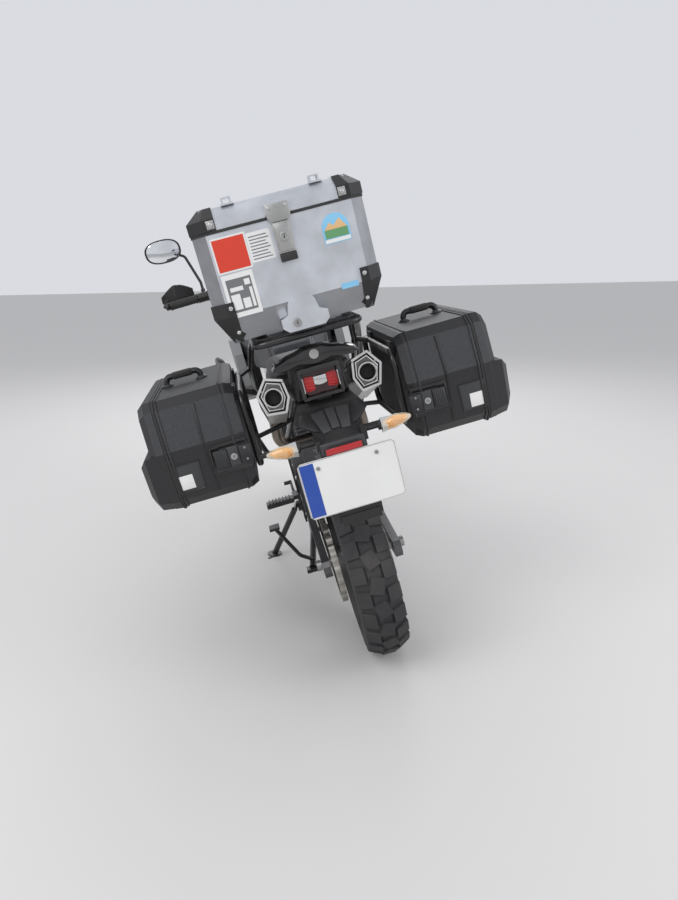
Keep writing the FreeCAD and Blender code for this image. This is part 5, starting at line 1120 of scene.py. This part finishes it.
for node, axle, rim_from, hub_to in (
    ("rear_wheel", REAR_HUB, 0.188, 0.075), ("front_wheel", FRONT_HUB, 0.238, 0.065),
):
    coat_faces(node, black_rim, lambda spot, normal: math.dist((spot.y, spot.z), axle) > rim_from)
    coat_faces(node, hub_alloy, lambda spot, normal: math.dist((spot.y, spot.z), axle) < hub_to)
coat_faces("fork", fork_chrome, lambda spot, normal: on_axis(spot)[0] < CHROME_END)
coat_faces("fork", frame_black, lambda spot, normal: on_axis(spot)[0] >= CHROME_END)
for sx, side in SIDES:
    coat_faces("fork_slider_" + side, frame_black, lambda spot, normal: (
        CALIPER_FROM < on_axis(spot)[0] < CALIPER_TO and on_axis(spot)[1] < CALIPER_BEHIND))


# %% Fork and caliper details
def steer(x, along, ahead):
    """A point by its place along and ahead of the steering axis, in metres."""
    return AXIS_FOOT + AXIS * along + AHEAD * ahead + Vector((x, 0, 0))


LEG_X = 0.105
for sx, side in SIDES:
    park(lathe("fork_wiper_" + side, steer(sx * LEG_X, 0.752, 0.035), AXIS, (
        (0.0315, 0.0), (0.0325, 0.004), (0.0315, 0.010), (0.027, 0.013), (0.0225, 0.014)), 40),
        grip_rubber, "steering")
    for along in (0.932, 1.147):
        for ahead, facing in ((0.012, -1), (0.058, 1)):
            park(lathe(f"clamp_bolt_{side}_{int(along * 1000)}_{int(ahead * 1000)}",
                       steer(sx * LEG_X, along, 0) + AHEAD * ahead, AHEAD * facing,
                       ((0.006, 0.0), (0.006, 0.012), (0.0035, 0.0122), (0.003, 0.009)), 20, 0.0003),
                 dull_zinc, "steering")
    park(lathe("fork_cap_" + side, steer(sx * LEG_X, 1.166, 0.035), AXIS, (
        (0.0235, 0.0), (0.0235, 0.010), (0.021, 0.013), (0.012, 0.0132), (0.0115, 0.010),
        (0.006, 0.010)), 36), polished, "steering")
    for n, along in enumerate((0.462, 0.523)):
        park(lathe(f"caliper_pin_{side}_{n}", steer(sx * 0.086, along, -0.050), (sx, 0, 0), (
            (0.008, -0.001), (0.008, 0.005), (0.005, 0.0055), (0.004, 0.003)), 24), dull_zinc, "steering")
tell("fork and calipers")

# %% [markdown]
# ## Engine
# The castings are grey, with machined covers, a ring of bolts round each and a row of fins. The
# radiator's core is a pack of thin fins between two tanks.

# %% Covers and bolts
cover_alloy = metal("cast cover alloy", (0.30, 0.30, 0.31), 0.46)
SLOT_OF[cover_alloy.name] = "engine_grey"
coat_faces("engine", cover_alloy, lambda spot, normal: (
    abs(normal.x) > 0.9 and (spot.x > 0.120 or spot.x < -0.117)))
for name, centre, radius, count, out in (
    ("clutch_bolt_", Vector((0.124, 0.722, 0.402)), 0.089, 9, 1),
    ("generator_bolt_", Vector((-0.121, 0.802, 0.412)), 0.076, 8, -1),
):
    for n in range(count):
        turn = (n + 0.5) * math.tau / count
        spot = centre + Vector((0, radius * math.cos(turn), radius * math.sin(turn)))
        park(lathe(f"{name}{n}", spot, (out, 0, 0), (
            (0.0068, -0.001), (0.0068, 0.003), (0.0052, 0.0045), (0.0032, 0.0045), (0.003, 0.002)),
            24, 0.0003), dull_zinc)
park(lathe("clutch_cover_ring", (0.1238, 0.722, 0.402), (1, 0, 0), (
    (0.081, 0.0), (0.080, 0.003), (0.074, 0.0035), (0.072, 0.0015), (0.055, 0.0015), (0.054, 0.003),
    (0.030, 0.0034))), cover_alloy)
park(lathe("oil_filler", (0.130, 0.745, 0.420), (1, 0, 0), (
    (0.017, -0.001), (0.017, 0.004), (0.0155, 0.0125), (0.009, 0.0130), (0.008, 0.010)), 18), grip_rubber)
park(lathe("generator_cover_ring", (-0.1278, 0.802, 0.412), (-1, 0, 0), (
    (0.036, 0.0), (0.035, 0.003), (0.020, 0.0035), (0.019, 0.0015), (0.008, 0.0015))), cover_alloy)
tell("engine covers")

# %% Radiator core
core_dark = metal("radiator fins", (0.16, 0.16, 0.165), 0.5, 0.1, 1600.0, (1.0, 0.02, 0.02))
SLOT_OF[core_dark.name] = "radiator_black"
CORE_HALF, CORE_END, FIN_PITCH = 0.098, 0.016, 0.0052
core_low, core_high = Vector((0, 1.020, 0.580)), Vector((0, 1.099, 0.765))
core_up = (core_high - core_low).normalized()
core_out = Vector((0, core_up.z, -core_up.y))
core_tall = (core_high - core_low).length
core = [Vector((x, 0, 0)) + core_low + core_up * up + core_out * 0.0002 for x, up in (
    (-CORE_HALF, CORE_END), (CORE_HALF, CORE_END), (CORE_HALF, core_tall - CORE_END),
    (-CORE_HALF, core_tall - CORE_END))]
park(outline_plate("radiator_core", core, core_out * 0.003, 0.0008), core_dark)
bpy.ops.mesh.primitive_cube_add(size=1, location=core_low + core_up * 0.020 + core_out * 0.0035)
fins = take("radiator_fins")
fins.scale = (0.192, 0.0016, 0.0009)
fins.rotation_euler = (math.atan2(core_up.z, core_up.y) - math.pi / 2, 0, 0)
bpy.ops.object.transform_apply(location=True, rotation=True, scale=True)
rows = fins.modifiers.new("rows", "ARRAY")
rows.use_relative_offset = False
rows.use_constant_offset = True
rows.constant_offset_displace = core_up * FIN_PITCH
rows.count = int((core_tall - 0.036) / FIN_PITCH)
park(fins, core_dark)
tell("radiator")

# %% [markdown]
# ## The seat
# The frame holds only a plain block where the seat is. We remesh a copy of it, blow it up a little with
# cloth pressure as the foam does under its cover, and then press in the sewn seams.

# %% Foam and cover
seat = relaxed(copy_of("seat", "seat_cover"), 0.0075, 14)
start = [vertex.co.copy() for vertex in seat.data.vertices]
cloth = seat.modifiers.new("cover", "CLOTH")
cloth.settings.use_pressure = True
cloth.settings.uniform_pressure_force = 4.0
cloth.settings.effector_weights.gravity = 0.0
cloth.settings.tension_stiffness = 40.0
cloth.settings.compression_stiffness = 40.0
for tick in range(1, 21):
    bpy.context.scene.frame_set(tick)
settle(seat)
bpy.context.scene.frame_set(1)
SWELL_LIMIT = 0.006
for vertex, before in zip(seat.data.vertices, start):
    moved = vertex.co - before
    if moved.length > SWELL_LIMIT:
        vertex.co = before + moved.normalized() * SWELL_LIMIT
finer = seat.modifiers.new("finer", "SUBSURF")
finer.levels = 1
settle(seat)
print("seat cover:", len(seat.data.vertices), "points")

# %% [markdown]
# Two seams run round the seat: one where the top panel meets the sides and one across, at the step
# between rider and passenger. Each is a narrow valley, and its depth falls off like a bell curve on both
# sides.


# %% Seams
def valley(distance, depth, width):
    """How deep a seam is at a distance from its middle."""
    return depth * math.exp(-(distance / width) ** 2)


RIDER_TOP, PASSENGER_RISE, STEP_FRONT, STEP_LENGTH = 0.876, 0.116, 0.42, 0.08
turn = UPRIGHT.to_3x3()
for vertex in seat.data.vertices:
    spot = UPRIGHT @ vertex.co
    normal = turn @ vertex.normal
    climb = max(0.0, min(1.0, (STEP_FRONT - spot.y) / STEP_LENGTH))
    depth = 0.0
    if abs(normal.x) > 0.25 and spot.z > 0.84:
        depth = valley(spot.z - (RIDER_TOP + PASSENGER_RISE * climb - 0.024), 0.0026, 0.0042)
    if normal.z > 0.1 or abs(normal.x) > 0.3:
        depth = max(depth, valley(spot.y - (0.352 + 0.25 * abs(spot.x)), 0.0024, 0.0045))
    if depth > 0.0002:
        vertex.co -= vertex.normal * depth
dress(seat, seat_vinyl)
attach(seat, "chassis")
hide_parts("seat")
print("seams pressed into", seat.name)

# %% [markdown]
# ## Moulded and pressed shells
# The guards and the fairing are moulded and the tank is pressed, so none of them has a sharp edge. We
# remesh a copy of each one finely and relax it. A guard's upper edge is then lowered towards both ends,
# so that it rises to a fin in front of the knuckles.


# %% Shells
GUARD_FOOT, GUARD_FROM, GUARD_INNER, GUARD_LENGTH = 1.186, 0.30, 0.322, 0.140


def shape_guard(shell):
    """Lowers a hand guard's upper edge towards both ends."""
    for vertex in shell.data.vertices:
        spot = UPRIGHT @ vertex.co
        if spot.z > GUARD_FOOT and abs(spot.x) > GUARD_FROM:
            along = min(max((abs(spot.x) - GUARD_INNER) / GUARD_LENGTH, 0.0), 1.0)
            tall = 0.36 + 0.64 * math.sin(math.pi * (0.15 + 0.80 * along))
            spot.z = GUARD_FOOT + (spot.z - GUARD_FOOT) * tall
            spot.y -= 0.010 * (1 - tall) * (spot.z - GUARD_FOOT) / 0.03
            vertex.co = PARKED @ spot


SHELLS = (
    ("hand_guard_left", "steering", black_plastic, "black_plastic", 0.0026, 9),
    ("hand_guard_right", "steering", black_plastic, "black_plastic", 0.0026, 9),
    ("fuel_tank", "chassis", tank_paint, "tank_paint", 0.0045, 12),
    ("front_fairing", "chassis", dark_plastic, "black_plastic", 0.0038, 7),
)
for node, body, finish, slot_name, grain, rounds in SHELLS:
    shell = relaxed(copy_of(node, node + "_shell"), grain, rounds)
    if body == "steering":
        shape_guard(shell)
    dress(shell, finish)
    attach(shell, body)
    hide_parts(node)
    print(shell.name, len(shell.data.polygons), "faces")

# %% [markdown]
# ## The stage
# A pale floor, soft light from large lamps, and a camera where the photographer stood: behind the
# machine, a little to its left and looking slightly down.

# %% Floor and lamps
bpy.ops.mesh.primitive_plane_add(size=60, location=(0, 0, 0))
floor = bpy.context.object
floor.name = "floor"
floor_tree = Tree("pale floor")
floor.data.materials.append(floor_tree.finish(base_color=(0.62, 0.61, 0.60), roughness=0.8))

world = bpy.data.worlds.new("soft sky")
bpy.context.scene.world = world
world.use_nodes = True
world.node_tree.nodes["Background"].inputs["Color"].default_value = (0.93, 0.95, 1.0, 1.0)
world.node_tree.nodes["Background"].inputs["Strength"].default_value = 0.75

LIT_SPOT, LAMP_SIZE = Vector((0, -0.2, 0.6)), 3.0
for name, spot, energy in (
    ("key", (-3.2, -3.6, 4.2), 150.0), ("fill", (3.6, -2.6, 2.6), 60.0), ("rim", (0.5, 3.8, 3.6), 80.0),
):
    bpy.ops.object.light_add(type="AREA", location=spot)
    lamp = bpy.context.object
    lamp.name = name + " lamp"
    lamp.data.energy = energy
    lamp.data.size = LAMP_SIZE
    lamp.rotation_euler = (LIT_SPOT - Vector(spot)).to_track_quat("-Z", "Y").to_euler()
    print(lamp.name, energy, "W")

# %% Camera
CAMERA_FROM_REAR_GROUND = Vector((-0.442, -2.023, 1.217))
YAW, PITCH, ROLL = math.radians(8.546), math.radians(-15.21), math.radians(-0.895)
FOCAL_PIXELS, IMAGE_HEIGHT = 694.9, 900
sight = Vector((math.sin(YAW) * math.cos(PITCH), math.cos(YAW) * math.cos(PITCH), math.sin(PITCH)))
level = Vector((math.cos(YAW), -math.sin(YAW), 0))
above = level.cross(sight)
camera_right = math.cos(ROLL) * level + math.sin(ROLL) * above
camera_up = math.cos(ROLL) * above - math.sin(ROLL) * level
bpy.ops.object.camera_add()
camera = bpy.context.object
camera.matrix_world = Matrix.Translation(
    CAMERA_FROM_REAR_GROUND + Vector((origin.x, origin.y, 0))
) @ Matrix((camera_right, camera_up, -sight)).transposed().to_4x4()
camera.data.lens = FOCAL_PIXELS / IMAGE_HEIGHT * camera.data.sensor_width
bpy.context.scene.camera = camera
bpy.context.scene.view_settings.view_transform = "Standard"
print("lens:", round(camera.data.lens, 2), "mm")
